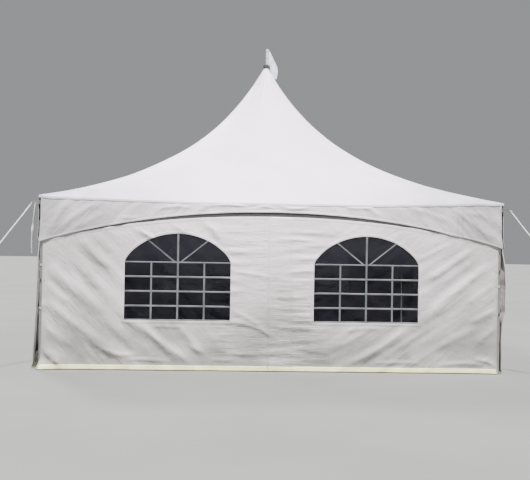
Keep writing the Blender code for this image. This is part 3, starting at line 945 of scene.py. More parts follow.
class Finishes:
    """Every finish of the tent, each made once."""

    def __init__(self) -> None:
        """Make the materials."""
        # The shade colours here are painted shade: on the canopy's lower flanks by the hips, the valance's
        # ends, and the walls' foot and ends.
        canopy = CoatedCloth("canopy cloth", (0.95, 0.83, 0.93), (0.90, 0.79, 0.89), crease=0.0012,
                             roughness=0.50, aged=(0.46, 0.44, 0.49), aged_low=0.0, aged_far=1.0)
        valance = CoatedCloth("valance cloth", (0.94, 0.855, 0.905), (0.88, 0.80, 0.845),
                              aged=(0.41, 0.390, 0.400), aged_low=0.0, aged_far=1.0,
                              streak_slants=(44.0, -46.0))
        wall = CoatedCloth("wall cloth", (0.94, 0.850, 0.880), (0.87, 0.785, 0.81),
                           aged=(0.246, 0.238, 0.220), streak_slants=(-47.0, 36.0))
        self.canopy, self.valance, self.wall = canopy.make(), valance.make(), wall.make()
        self.canopy_weld = replace(canopy, name="canopy tape", rib=0.006).make()
        weld = {"crease": 0.001, "roughness": 0.40, "rib": 0.006, "streak_slants": None}
        self.valance_weld = replace(valance, name="valance weld", **weld).make()
        self.wall_weld = replace(wall, name="wall weld", **weld).make()
        self.hem = WeldedHem("folded hem", (0.72, 0.700, 0.36), (0.62, 0.595, 0.31)).make()
        self.film = ClearFilm().make()
        self.bar = WindowBar().make()
        self.rail = SatinPaint("rail paint", (0.250, 0.232, 0.240), (0.33, 0.305, 0.315)).make()
        self.post = BareMetal("post metal", (0.42, 0.42, 0.39), (0.26, 0.26, 0.24), metallic=0.75).make()
        self.crown = SatinPaint("crown paint", (0.035, 0.035, 0.038), (0.10, 0.10, 0.10)).make()
        self.flag_pole = SatinPaint("flag pole paint", (0.62, 0.62, 0.60), (0.38, 0.38, 0.37), 0.38).make()
        self.pennant = ThinCloth().make()
        self.strap = Webbing("strap webbing", (0.66, 0.66, 0.58), (0.36, 0.35, 0.28)).make()
        self.tie = Webbing("tie webbing", (0.46, 0.46, 0.43), (0.28, 0.27, 0.23)).make()
        self.stake = BareMetal("stake steel", (0.34, 0.33, 0.32), (0.20, 0.15, 0.11), metallic=0.8,
                               roughness=0.45, stretch=(20.0, 20.0, 20.0)).make()
        self.fitting = BareMetal("fitting steel", (0.45, 0.45, 0.45), (0.25, 0.24, 0.23), roughness=0.30,
                                 stretch=(30.0, 30.0, 30.0)).make()


@dataclass(frozen=True)
class Fold:
    """A ridge in hung cloth along a gently bowed line of its side's (x, z) plane."""

    start: tuple[float, float]
    middle: tuple[float, float]
    end: tuple[float, float]
    width: float
    rise: float
    below: float = 1.15
    breadth: float = 1.87
    gain: float = 2.3
    bell_power: float = 1.7
    full_part: float = 0.50
    fade: float = 0.42

    def depth(self, x: Array, z: Array) -> Array:
        """How far the fold stands out: a bell across its line, uneven above and below, faded at both ends.

        Args:
            x: place along the side.
            z: height over the ground.

        Returns:
            The distance at each place.
        """
        run = np.subtract(self.end, self.start)
        length = float(np.hypot(*run))
        across = np.array([run[1], -run[0]]) / length
        across *= -1.0 if across[1] > 0 else 1.0
        bow = float(np.dot(np.subtract(self.middle, np.add(self.start, self.end) / 2), across))
        along = ((x - self.start[0]) * run[0] + (z - self.start[1]) * run[1]) / length ** 2
        aside = (x - self.start[0]) * across[0] + (z - self.start[1]) * across[1]
        aside = aside - bow * 4.0 * along * (1.0 - along)
        widths = np.where(aside > 0, self.below * self.width, (self.breadth - self.below) * self.width)
        ends = np.exp(-(np.maximum(0.0, np.abs(2.0 * along - 1.0) - self.full_part) / self.fade) ** 2)
        return self.gain * self.rise * np.exp(-np.abs(aside / widths) ** self.bell_power) * ends

    def varied(self, dice: np.random.Generator, mirrored: bool) -> Fold:
        """The fold shifted and changed a little, and mirrored if asked, for another side.

        Args:
            dice: the random numbers to draw from.
            mirrored: True to swap left and right.

        Returns:
            The changed fold.
        """
        sign = -1.0 if mirrored else 1.0
        shift = dice.uniform(-0.10, 0.10, 2)
        moved = [(sign * x + shift[0], max(0.05, z + shift[1]))
                 for x, z in (self.start, self.middle, self.end)]
        width, rise = self.width * dice.uniform(0.85, 1.2), self.rise * dice.uniform(0.7, 1.25)
        return Fold(*moved, width, rise, self.below)


def folds(*rows: tuple[float, ...]) -> tuple[Fold, ...]:
    """Folds from rows of x and z at the start, middle and end, a width, a rise, and below if unusual."""
    return tuple(Fold(row[:2], row[2:4], row[4:6], *row[6:]) for row in rows)


WALL_FOLDS = folds(
    (-2.48, 1.72, -2.31, 1.50, -2.09, 1.33, 0.064, 0.0098),
    (-2.57, 1.25, -2.40, 0.98, -2.14, 0.72, 0.060, 0.0085),
    (-2.91, 1.12, -2.76, 0.98, -2.57, 0.85, 0.050, 0.0080),
    (-2.93, 0.90, -2.66, 0.69, -2.12, 0.29, 0.062, 0.0125),
    (-1.74, 0.61, -1.43, 0.37, -1.09, 0.13, 0.060, 0.0150),
    (-1.20, 0.58, -1.05, 0.41, -0.90, 0.21, 0.055, 0.0090),
    (-1.93, 0.64, -1.80, 0.60, -1.66, 0.54, 0.040, 0.0040),
    (-2.35, 0.42, -2.09, 0.24, -1.73, 0.20, 0.040, 0.0080),
    (-0.58, 0.64, -0.24, 0.58, 0.02, 0.44, 0.022, 0.0050),
    (-0.52, 0.230, -0.37, 0.225, -0.20, 0.230, 0.026, 0.0050),
    (-2.31, 1.79, -2.20, 1.66, -2.07, 1.51, 0.035, 0.0040),
    (-1.90, 1.90, -1.71, 1.79, -1.50, 1.68, 0.035, 0.0080),
    (-1.31, 1.91, -1.22, 1.84, -1.14, 1.78, 0.030, 0.0050),
    (-0.90, 1.93, -0.79, 1.85, -0.70, 1.72, 0.035, 0.0050),
    (-0.51, 1.28, -0.27, 1.26, -0.01, 1.21, 0.022, 0.0045),
    (-1.56, 0.58, -1.35, 0.57, -1.12, 0.56, 0.018, 0.0045),
    (-1.05, 0.34, -0.98, 0.29, -0.88, 0.24, 0.030, 0.0055),
    (-2.90, 0.59, -2.77, 0.44, -2.58, 0.31, 0.042, 0.0085),
    (-0.48, 0.77, -0.24, 0.64, 0.00, 0.47, 0.040, 0.0045),
    (2.60, 1.62, 2.31, 1.41, 1.98, 1.18, 0.058, 0.0150),
    (2.79, 1.40, 2.46, 1.13, 1.95, 0.70, 0.060, 0.0145),
    (1.78, 0.60, 1.46, 0.35, 1.03, 0.12, 0.060, 0.0150),
    (1.26, 0.55, 1.04, 0.42, 0.82, 0.33, 0.045, 0.0060),
    (2.94, 0.86, 2.78, 0.77, 2.58, 0.66, 0.038, 0.0100),
    (2.66, 0.60, 2.40, 0.47, 2.12, 0.31, 0.050, 0.0070),
    (0.22, 0.222, 0.33, 0.215, 0.46, 0.208, 0.024, 0.0055),
    (0.44, 0.275, 0.59, 0.265, 0.76, 0.23, 0.026, 0.0035),
    (0.00, 1.70, 0.24, 1.71, 0.52, 1.70, 0.020, 0.0045),
    (0.20, 1.29, 0.38, 1.30, 0.56, 1.30, 0.026, 0.0045),
    (0.03, 1.20, 0.27, 1.18, 0.56, 1.18, 0.022, 0.0050),
    (0.25, 0.74, 0.41, 0.73, 0.56, 0.74, 0.020, 0.0045),
    (0.25, 0.66, 0.41, 0.66, 0.56, 0.66, 0.022, 0.0050),
    (2.60, 1.46, 2.40, 1.31, 2.16, 1.13, 0.045, 0.0055),
    (2.93, 1.18, 2.73, 1.05, 2.52, 0.89, 0.050, 0.0065),
    (2.95, 0.61, 2.81, 0.51, 2.64, 0.38, 0.040, 0.0080),
    (0.02, 1.05, 0.17, 1.06, 0.30, 1.05, 0.018, 0.0035),
    (1.85, 1.45, 2.09, 1.57, 2.32, 1.69, 0.040, 0.0060),
    (0.02, 0.58, 0.28, 0.58, 0.56, 0.56, 0.022, 0.0040),
    (0.92, 0.53, 1.17, 0.57, 1.46, 0.57, 0.024, 0.0045),
    (2.18, 0.105, 2.48, 0.135, 2.80, 0.115, 0.028, 0.0060),
    (-3.00, 0.31, -2.86, 0.21, -2.68, 0.04, 0.058, 0.0170, 0.62),
    (2.64, 0.17, 2.80, 0.16, 2.97, 0.07, 0.034, 0.0090, 0.80),
    (-1.87, 0.135, -1.60, 0.140, -1.33, 0.120, 0.020, 0.0055),
    (-0.78, 0.150, -0.66, 0.140, -0.52, 0.145, 0.020, 0.0050),
    (1.34, 0.125, 1.62, 0.135, 1.90, 0.130, 0.020, 0.0045),
)

VALANCE_FOLDS = folds(
    (-2.89, 1.74, -2.76, 1.95, -2.60, 2.19, 0.045, 0.0090),
    (-2.74, 1.79, -2.52, 1.98, -2.22, 2.17, 0.045, 0.0085),
    (-2.56, 1.82, -2.35, 1.91, -2.14, 2.06, 0.040, 0.0040),
    (2.38, 2.12, 2.61, 1.94, 2.84, 1.76, 0.045, 0.0100),
    (2.64, 2.16, 2.76, 2.02, 2.90, 1.90, 0.035, 0.0060),
    (2.50, 2.10, 2.70, 2.07, 2.92, 1.98, 0.030, 0.0045),
    (1.20, 2.16, 1.29, 2.10, 1.40, 2.03, 0.030, 0.0050),
    (0.95, 2.14, 1.13, 2.13, 1.30, 2.14, 0.020, 0.0040),
    (-0.86, 2.11, -0.61, 2.15, -0.33, 2.12, 0.024, 0.0060),
    (-1.50, 2.07, -1.29, 2.11, -1.08, 2.10, 0.024, 0.0045),
    (1.80, 2.15, 2.04, 2.07, 2.26, 1.99, 0.035, 0.0045),
    (-1.96, 1.97, -1.84, 1.955, -1.72, 1.965, 0.018, 0.0040),
    (0.10, 2.13, 0.27, 2.11, 0.45, 2.13, 0.020, 0.0050),
    (-0.25, 2.10, -0.12, 2.13, 0.02, 2.10, 0.020, 0.0045),
)


def side_folds(front: tuple[Fold, ...], side: Side, dice: np.random.Generator) -> tuple[Fold, ...]:
    """The front's folds, and for another side each of them a little changed, mirrored on two of the three."""
    if side is Side.FRONT:
        return front
    return tuple(fold.varied(dice, side in (Side.RIGHT, Side.BACK)) for fold in front)


class Ripples:
    """A smooth random unevenness: a sum of plane waves with seeded directions, lengths and phases."""

    def __init__(self, dice: np.random.Generator, count: int, shortest: float, longest: float,
                 height: float, headings: tuple[float, float] = (0.0, 180.0)) -> None:
        """Draw the waves.

        Args:
            dice: where the random numbers come from.
            count: how many waves are summed.
            shortest: shortest wavelength.
            longest: longest wavelength.
            height: root mean square height of the sum.
            headings: lowest and highest angle of a wave's direction from +X towards +Z, in degrees.
        """
        lengths = dice.uniform(shortest, longest, count)
        headings = np.radians(dice.uniform(*headings, count))
        self.phases = dice.uniform(0.0, math.tau, count)
        self.waves = np.stack([np.cos(headings), np.sin(headings)]) * math.tau / lengths
        sizes = lengths / longest
        self.sizes = sizes * height * math.sqrt(2.0 / float(np.sum(sizes ** 2)))

    def depth(self, x: Array, z: Array) -> Array:
        """Sum of the waves at each place."""
        angle = x[..., None] * self.waves[0] + z[..., None] * self.waves[1] + self.phases
        return np.sum(self.sizes * np.sin(angle), axis=-1)


class Pulls:
    """Long soft streaks where hung cloth is pulled: slanting one way on the left, the other on the right."""

    def __init__(self, dice: np.random.Generator, headings: tuple[float, float], height: float,
                 lengths: tuple[float, float]) -> None:
        """Draw the streaks.

        Args:
            dice: where the random numbers come from.
            headings: angles across the left and right halves' streaks, from +X towards +Z, in degrees.
            height: root mean square height of the streaks.
            lengths: shortest and longest distance from one streak to the next.
        """
        self.left, self.right = (Ripples(dice, 16, *lengths, height, (heading - 7.0, heading + 7.0))
                                 for heading in headings)
        self.middle = Ripples(dice, 14, 0.5 * lengths[0], 0.6 * lengths[1], 0.6 * height, (83.0, 97.0))
        self.slow = Ripples(dice, 8, 0.5, 1.3, 0.35)

    def depth(self, x: Array, z: Array) -> Array:
        """Height of the streaks: slanting ones in each half, level ones between them, now deep, now faint."""
        left, right = eased((-x - 0.45) / 0.6), eased((x - 0.45) / 0.6)
        total = self.left.depth(x, z) * left + self.right.depth(x, z) * right
        total = total + self.middle.depth(x, z) * (1.0 - left - right)
        return total * np.clip(0.75 + self.slow.depth(x, z), 0.1, 1.8)


@dataclass(frozen=True)
class EdgeFlare:
    """Where a wall's end hangs away from its post: how far it stands out at a row of heights."""

    end: int
    heights: tuple[float, ...]
    rises: tuple[float, ...]
    reach: float
    aside: float = 0.0
    calm: float = 0.0

    def near(self, x: Array, half: float) -> Array:
        """How near a place is to the end: 1 at it, dying away over the reach."""
        return np.exp(-((half - self.end * x) / self.reach) ** 2)

    def depth(self, x: Array, z: Array, half: float) -> Array:
        """Rise at the height, dying away from the end of the wall."""
        along = np.clip((z - self.heights[0]) / (self.heights[-1] - self.heights[0]), 0.0, 1.0)
        rise = np.interp(z, self.heights, self.rises) * (0.97 + 0.03 * np.cos(9.0 * along))
        return rise * self.near(x, half)


FLARES = {
    Side.FRONT: (
        EdgeFlare(-1, (0.0, 0.05, 0.14, 0.26), (0.070, 0.062, 0.018, 0.0), 0.15, aside=0.6),
        EdgeFlare(-1, (0.72, 0.82, 0.90), (0.0, 0.016, 0.0), 0.07),
        EdgeFlare(1, (0.0, 0.06, 0.13, 0.22), (0.030, 0.026, 0.009, 0.0), 0.20),
    ),
    Side.RIGHT: (
        EdgeFlare(-1, (0.0, 0.45, 0.66, 0.80, 1.36, 1.58), (0.030, 0.028, 0.036, 0.074, 0.070, 0.026), 0.055),
        EdgeFlare(1, (0.0, 0.50, 1.20), (0.034, 0.020, 0.0), 0.15),
    ),
    Side.BACK: (
        EdgeFlare(1, (0.0, 0.30, 0.70), (0.030, 0.014, 0.0), 0.15),
        EdgeFlare(-1, (0.0, 0.12, 0.30), (0.018, 0.012, 0.0), 0.12),
    ),
    Side.LEFT: (
        EdgeFlare(1, (0.0, 0.35, 0.70, 1.05, 1.40), (0.066, 0.049, 0.032, 0.016, 0.0), 0.34, calm=0.85),
        EdgeFlare(1, (0.0, 1.10, 1.40, 1.66), (0.012, 0.020, 0.026, 0.008), 0.022),
        EdgeFlare(-1, (0.0, 0.35, 0.90, 1.50), (0.040, 0.024, 0.012, 0.0), 0.16),
    ),
}


class WallCloth:
    """The standing shape of one side's wall cloth, and the points on it."""

    OUT = np.array([0.0, -1.0, 0.0])
    INSIDE = (0.0, 0.0, 1.0)
    LEVEL = 0.006
    RAIL_REACH, RAIL_SHARE = 0.16, 0.12
    POST_REACH, POST_SHARE = 0.10, 0.30
    KICK, KICK_HEIGHT = 0.018, 0.066
    STRIP_SINK = 0.0025
    STRIP_MARGIN = 0.004

    def __init__(self, tent: TentSizes, side: Side) -> None:
        """Draw the side's folds, ripples and flares.

        Args:
            tent: the tent's sizes.
            side: the side that the wall closes.
        """
        dice = np.random.default_rng(40 + side.value)
        self.tent = tent
        self.side = side
        self.folds = side_folds(WALL_FOLDS, side, dice)
        self.ripples = Ripples(dice, 18, 0.28, 1.10, 0.0016)
        self.pulls = Pulls(dice, (43.0, 126.0), 0.0043, (0.08, 0.32))
        self.flares = FLARES[side]

    def depth(self, x: Array, z: Array) -> Array:
        """How far the cloth stands out of its plane.

        Folds, ripples and pulls are held in near the rail and the posts, and the foot kicks out.

        Args:
            x: place along the side.
            z: height over the ground.

        Returns:
            The distance at each place.
        """
        total = self.ripples.depth(x, z) + self.pulls.depth(x, z) + self.LEVEL
        for fold in self.folds:
            total = total + fold.depth(x, z)
        rail = eased((self.tent.wall_top(x) - z) / self.RAIL_REACH)
        post = eased((self.tent.wall_end - np.abs(x)) / self.POST_REACH)
        held = total * (self.RAIL_SHARE + (1.0 - self.RAIL_SHARE) * rail)
        held = held * (self.POST_SHARE + (1.0 - self.POST_SHARE) * post)
        for flare in self.flares:
            held = held * (1.0 - flare.calm * flare.near(x, self.tent.wall_end))
            held = held + flare.depth(x, z, self.tent.wall_end)
        kick = self.KICK * np.clip(1.0 - (z - self.tent.wall_foot) / self.KICK_HEIGHT, 0.0, 1.0) ** 1.5
        return np.maximum(held + kick, -0.001)

    def at(self, x: Array, z: Array, lift: float = 0.0) -> Array:
        """Points of the cloth, lifted outwards, with each flare's share of its rise carried aside."""
        x, z = np.broadcast_arrays(x, z)
        aside = sum(flare.end * flare.aside * flare.depth(x, z, self.tent.wall_end) for flare in self.flares)
        return placed(x + aside, -(self.tent.wall_middle + self.depth(x, z) + lift), z)

    def strip(self, piece: Piece, line: Array, width: float, rise: float = WELD_RISE) -> None:
        """Lay a flat strip along a line of (x, z) points on the cloth.

        Args:
            piece: the mesh that the strip goes into.
            line: the points of the strip's middle line.
            width: the strip's width.
            rise: how far its face stands out of the cloth.
        """
        run = unit(np.gradient(line, axis=0))
        across = placed(run[:, 1], -run[:, 0])
        edge = 0.5 - self.STRIP_MARGIN / width
        places = np.array([-0.5, -edge, -edge / 2, 0.0, edge / 2, edge, 0.5]) * width
        grid = line[:, None] + across[:, None] * places[None, :, None]
        piece.slab(self.at(grid[..., 0], grid[..., 1]), self.OUT, rise, self.STRIP_SINK)


@dataclass
class Assembly:
    """A sub-assembly of the tent, with the sizes and finishes that it is made to."""

    tent: TentSizes
    finishes: Finishes


@dataclass
class WallHalf(Assembly):
    """One half sheet of a wall, with its window opening, hems and welds, its film and its bars."""

    cloth: WallCloth
    half: int
    name: str
    run_points: int = 88
    rings: int = 38
    crowding: float = 0.105
    crowding_reach: float = 0.12
    thickness: float = CLOTH_THICKNESS
    hem_width: float = 0.056
    edge_width: float = 0.040
    border_width: float = 0.042
    weld_width: float = 0.034
    rope_radius: float = 0.0075
    film_thickness: float = 0.0012
    film_lap: float = 0.018
    film_slack: float = 0.0035
    bar_width: float = 0.023

    @property
    def seam(self) -> float:
        """Where the sheet ends at the middle of the side."""
        return self.tent.seam + self.half * 0.0006

    @property
    def end(self) -> float:
        """Where the sheet ends at its post."""
        return self.half * self.tent.wall_end

    def outer_outline(self) -> Array:
        """Outline of the half sheet: four runs that match the window's, crowded towards the post's foot.

        Returns:
            The outline's (x, z) points.
        """
        foot = self.tent.wall_foot
        left, right = min(self.seam, self.end), max(self.seam, self.end)
        tops = np.linspace(right, left, 81)
        top = placed(tops, self.tent.wall_top(tops))
        low_left, low_right = np.array([[left, foot]]), np.array([[right, foot]])
        runs = (
            np.concatenate([low_left, low_right]), np.concatenate([low_right, top[:1]]), top,
            np.concatenate([top[-1:], low_left]),
        )
        crowds = (0.45 * self.half, -0.3 * (self.half > 0), -0.45 * self.half, 0.3 * (self.half < 0))
        return np.concatenate([evenly(run, self.run_points, crowd) for run, crowd in zip(runs, crowds)])

    def flat_area(self) -> float:
        """Area of the cut sheet less its window."""
        return enclosed(self.outer_outline()) - enclosed(self.tent.window_outline(self.half, self.run_points))

    def piece(self, kind: str) -> Piece:
        """Start a piece of this half sheet."""
        return Piece(f"{kind}_{self.name}", self.cloth.side.turn)

    def build(self) -> None:
        """Build the sheet with its trim, and the window."""
        sheet = self.build_sheet([self.build_trim(), self.build_hem()])
        bars = self.build_bars()
        self.build_film(bars, sheet)

    def build_sheet(self, trims: list[Thing]) -> Thing:
        """Build the cloth: rings of points from the window's outline to the sheet's edge, crowded there.

        Args:
            trims: the pieces that lie on the cloth; not used.

        Returns:
            The cloth's object.
        """
        piece = self.piece("wall_cloth")
        near = self.tent.window_outline(self.half, self.run_points)
        far = self.outer_outline()
        left = np.linspace(1.0, 0.0, self.rings + 1)[:, None, None]
        left = left - self.crowding * (1.0 - np.exp(-left / self.crowding_reach))
        share = 1.0 - left / left[0]
        grid = near[None] * (1.0 - share) + far[None] * share
        crossed = np.arange(len(near)) // self.run_points % 2 == (self.half > 0)
        piece.sheet(self.cloth.at(grid[..., 0], grid[..., 1]), grid, WallCloth.INSIDE, True, crossed)
        sheet = piece.build(self.finishes.wall, "wall_cloth", self.thickness)
        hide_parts(f"wall_{self.name}")
        width = abs(self.end - self.seam)
        self.flat_area()
        return sheet

    def build_trim(self) -> Thing:
        """Build the hems round the sheet, the window's border, the welds and the bolt rope by the post.

        Returns:
            The trim's object.
        """
        tent, cloth = self.tent, self.cloth
        piece = self.piece("wall_trim")
        foot, inner = tent.wall_foot, -self.half
        xs = np.linspace(self.seam - inner * 0.002, self.end, 150)
        cloth.strip(piece, placed(xs, tent.wall_top(xs) - self.edge_width / 2), self.edge_width)
        post_x = self.end + inner * self.edge_width / 2
        for x in (post_x, self.seam + self.half * self.edge_width / 2):
            self.upright(piece, x, foot, tent.top_at(x) - 0.004, self.edge_width, 0.0026)
        for x in (2.11, 2.60):
            self.upright(piece, self.half * x, foot + self.hem_width, tent.top_at(x) - 0.03, self.weld_width)
        for low, high in ((foot + self.hem_width, tent.window_sill - 0.05), (1.74, 1.94)):
            self.upright(piece, self.half * 0.76, low, high, self.weld_width)
        self.upright(piece, self.half * tent.window_centre, tent.window_spring + tent.window_rise + 0.03,
                     tent.top_at(tent.window_centre) - 0.03, 0.026)
        laps = np.array([0.0, 0.004, 0.5 * self.border_width, self.border_width - 0.004, self.border_width])
        ring = np.stack([tent.window_outline(self.half, 60, lap) for lap in laps], axis=1)
        piece.slab(cloth.at(ring[..., 0], ring[..., 1]), WallCloth.OUT, 0.0021, wrap=True)
        zs = np.linspace(foot + 0.004, tent.top_at(self.end) - 0.004, 84)
        piece.tube(cloth.at(self.end, zs), self.rope_radius, 10)
        return piece.build(self.finishes.wall_weld, "wall_cloth", sharp=TRIM_ANGLE)

    def build_hem(self) -> Thing:
        """Build the doubled hem along the foot.

        Returns:
            The hem's object.
        """
        tent, cloth = self.tent, self.cloth
        piece = self.piece("wall_hem")
        xs = np.linspace(self.seam + self.half * 0.002, self.end, 150)
        cloth.strip(piece, placed(xs, tent.wall_foot + self.hem_width / 2), self.hem_width, 0.0034)
        return piece.build(self.finishes.hem, "wall_cloth", sharp=TRIM_ANGLE)

    def upright(self, piece: Piece, x: float, low: float, high: float, width: float,
                rise: float = WELD_RISE) -> None:
        """Lay an upright strip on the cloth at x."""
        zs = np.linspace(low, high, max(8, int((high - low) / 0.020)))
        self.cloth.strip(piece, placed(x, zs), width, rise)

    def film_at(self, x: Array, z: Array, share: Array | float, lift: float = 0.0) -> Array:
        """Points of the film: with the cloth at its edge, calmer and softly rippled further in.

        Args:
            x: places along the side.
            z: heights.
            share: 0 at the middle of the window and 1 at its edge.
            lift: how far the points stand out of the film.

        Returns:
            The points, on the film's plane behind the cloth.
        """
        weight = 0.30 + 0.70 * eased((share - 0.55) / 0.45)
        waves = np.sin(9.0 * x + 3.1 * z + 1.7 * self.cloth.side.value)
        slack = self.film_slack * waves * (1.0 - eased(share))
        depth = self.cloth.depth(x, z) * weight + slack
        return placed(x, -(self.tent.film_middle + depth + lift), z)

    def share_at(self, x: Array, z: Array) -> Array:
        """How near a place in the window is to its edge: 0 in the middle and 1 at the outline.

        Args:
            x: place along the side.
            z: height over the ground.

        Returns:
            The share at each place.
        """
        tent = self.tent
        across = np.abs(x - self.half * tent.window_centre) / tent.window_reach
        bow = np.sqrt(np.clip(1.0 - across ** 2, 0.0, 1.0)) ** tent.window_fullness
        head = tent.window_spring + tent.window_rise * bow
        middle = (tent.window_sill + tent.window_spring + tent.window_rise) / 2
        upward = (z - middle) / np.maximum(head - middle, 0.05)
        downward = (middle - z) / (middle - tent.window_sill)
        return np.clip(np.maximum(across, np.maximum(upward, downward)), 0.0, 1.0)

    def build_film(self, bars: Thing, sheet: Thing) -> None:
        """Build the clear film: rings of points from the window's middle out to a lap behind the cloth.

        Args:
            bars: the window's bars; not used.
            sheet: the cloth that holds the film; not used.
        """
        tent = self.tent
        piece = self.piece("film")
        rim = tent.window_outline(self.half, 34, self.film_lap)
        middle = np.array([self.half * tent.window_centre, 1.12])
        share = (np.linspace(0.01, 1.0, 16) ** 0.7)[:, None, None]
        grid = middle + (rim[None] - middle) * share
        x, z = grid[..., 0], grid[..., 1]
        points = self.film_at(x, z, self.share_at(x, z))
        quads = grid_quads(*points.shape[:2], wrap_columns=True).tolist()
        quads.append(list(range(points.shape[1] - 1, -1, -1)))
        piece.add(points.reshape(-1, 3), quads, grid.reshape(-1, 2), WallCloth.INSIDE)
        film = piece.build(self.finishes.film, "window_film", self.film_thickness)
        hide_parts(f"window_{self.name}")

    def build_bars(self) -> Thing:
        """Build the bars: three uprights, four level ones, and a fan of two in the arch.

        Returns:
            The bars' object.
        """
        tent = self.tent
        piece = self.piece("window_bars")
        centre, sill, spring = self.half * tent.window_centre, tent.window_sill, tent.window_spring
        reach, pane = tent.window_reach, tent.window_reach / 2
        lines = [((centre + aside, sill), (centre + aside, spring), self.bar_width)
                 for aside in (-pane, pane)]
        lines.append(((centre, sill), (centre, spring + tent.window_rise - 0.004), self.bar_width + 0.002))
        step = (spring - sill) / 4
        lines += [((centre - reach, sill + step * row), (centre + reach, sill + step * row),
                   0.018 if row == 4 else self.bar_width) for row in range(1, 5)]
        lines.append(((centre - reach, sill + 0.008), (centre + reach, sill + 0.008), 0.018))
        lines += [((centre + hand * 0.040, spring + 0.006), (centre + hand * 0.394, spring + 0.289), 0.018)
                  for hand in (-1, 1)]
        for number, (start, stop, width) in enumerate(lines):
            line = np.linspace(start, stop, 34)
            run = unit(line[-1:] - line[:1])[0]
            places = np.array([-0.5, -0.42, 0.0, 0.42, 0.5]) * width
            grid = line[:, None] + np.array([run[1], -run[0]]) * places[None, :, None]
            x, z = grid[..., 0], grid[..., 1]
            rise = 0.0016 + 0.0003 * (number % 3)
            piece.slab(self.film_at(x, z, self.share_at(x, z), 0.0007), WallCloth.OUT, rise, 0.0010)
        return piece.build(self.finishes.bar, "window_film", sharp=TRIM_ANGLE)


@dataclass
class EntranceFlap(Assembly):
    """The strip of cloth that covers the seam between the two half sheets, fixed down its left edge."""

    cloth: WallCloth
    left: float = -0.045
    right: float = 0.262
    lift: float = 0.0055
    wave: float = 0.0045
    hem_width: float = 0.058
    thickness: float = CLOTH_THICKNESS

    def at(self, x: Array, z: Array, lift: float = 0.0) -> Array:
        """Points of the flap: over the cloth, its free edge waving a little further out."""
        share = (x - self.left) / (self.right - self.left)
        loose = eased(share) * eased((self.tent.wall_top(x) - z) / 0.5)
        wave = self.wave * loose * (1.0 + np.sin(7.3 * z + 1.1 * self.cloth.side.value) * 0.8)
        return self.cloth.at(x, z, self.lift + lift + wave)

    def build(self) -> None:
        """Build the flap, its foot hem and its free edge."""
        side = self.cloth.side
        xs = np.linspace(self.left, self.right, 15)[None, :]
        share = np.linspace(0.0, 1.0, 96)[:, None]
        zs = self.tent.wall_foot + (self.tent.wall_top(xs) - 0.002 - self.tent.wall_foot) * share
        xs = np.broadcast_to(xs, zs.shape)
        piece = side.piece("entrance_flap")
        piece.sheet(self.at(xs, zs), placed(xs, zs), WallCloth.INSIDE)
        trim = side.piece("entrance_flap_trim")
        foot = side.piece("entrance_flap_hem")
        places = np.array([0.0, 0.06, 0.5, 0.94, 1.0])
        along = np.linspace(self.left, self.right, 24)[:, None]
        level = self.tent.wall_foot + self.hem_width * (1.0 - places)[None, :]
        grid_x, grid_z = np.broadcast_arrays(along, level)
        foot.slab(self.at(grid_x, grid_z), WallCloth.OUT, 0.0022, 0.0006)
        heights = np.linspace(self.tent.wall_foot + 0.07, self.tent.top_at(self.right) - 0.003, 90)
        for middle, width in ((self.right - 0.013, 0.026), (self.left + 0.012, 0.022)):
            grid_x, grid_z = np.broadcast_arrays(middle + width * (places - 0.5)[None, :], heights[:, None])
            trim.slab(self.at(grid_x, grid_z), WallCloth.OUT, 0.0022)
        trims = [trim.build(self.finishes.wall_weld, "wall_cloth", sharp=TRIM_ANGLE),
                 foot.build(self.finishes.hem, "wall_cloth", sharp=TRIM_ANGLE)]
        flap = piece.build(self.finishes.wall, "wall_cloth", self.thickness)
        width = self.right - self.left


@dataclass
class WallHooks(Assembly):
    """Bent wire hooks inside, from a wall's top hem up over its rail."""

    radius: float = 0.0028
    spacing: float = 0.36
    end_gap: float = 0.15

    def build(self, side: Side) -> None:
        """Build one side's hooks along the rail.

        Args:
            side: the side that the hooks hang on.
        """
        piece = side.piece("wall_hooks")
        end = self.tent.half - self.end_gap
        for x in np.linspace(-end, end, int(2 * end / self.spacing)):
            underside = float(self.tent.rail_underside(np.array(x)))
            middle = underside + self.tent.rail_radius
            bend = np.linspace(math.radians(-60), math.radians(110), 12)
            reach = self.tent.rail_radius + self.radius + 0.001
            over = placed(x, -self.tent.half + reach * np.cos(bend), middle + reach * np.sin(bend))
            hem = np.array([[x, -2.9888, underside - 0.040], [x, -2.9868, underside - 0.024],
                            [x, -2.975, underside - 0.016]])
            low = np.array([[x, -2.952, underside - 0.012]])
            piece.tube(np.concatenate([hem, low, over]), self.radius, 8)
        piece.build(self.finishes.fitting, "stake_steel")


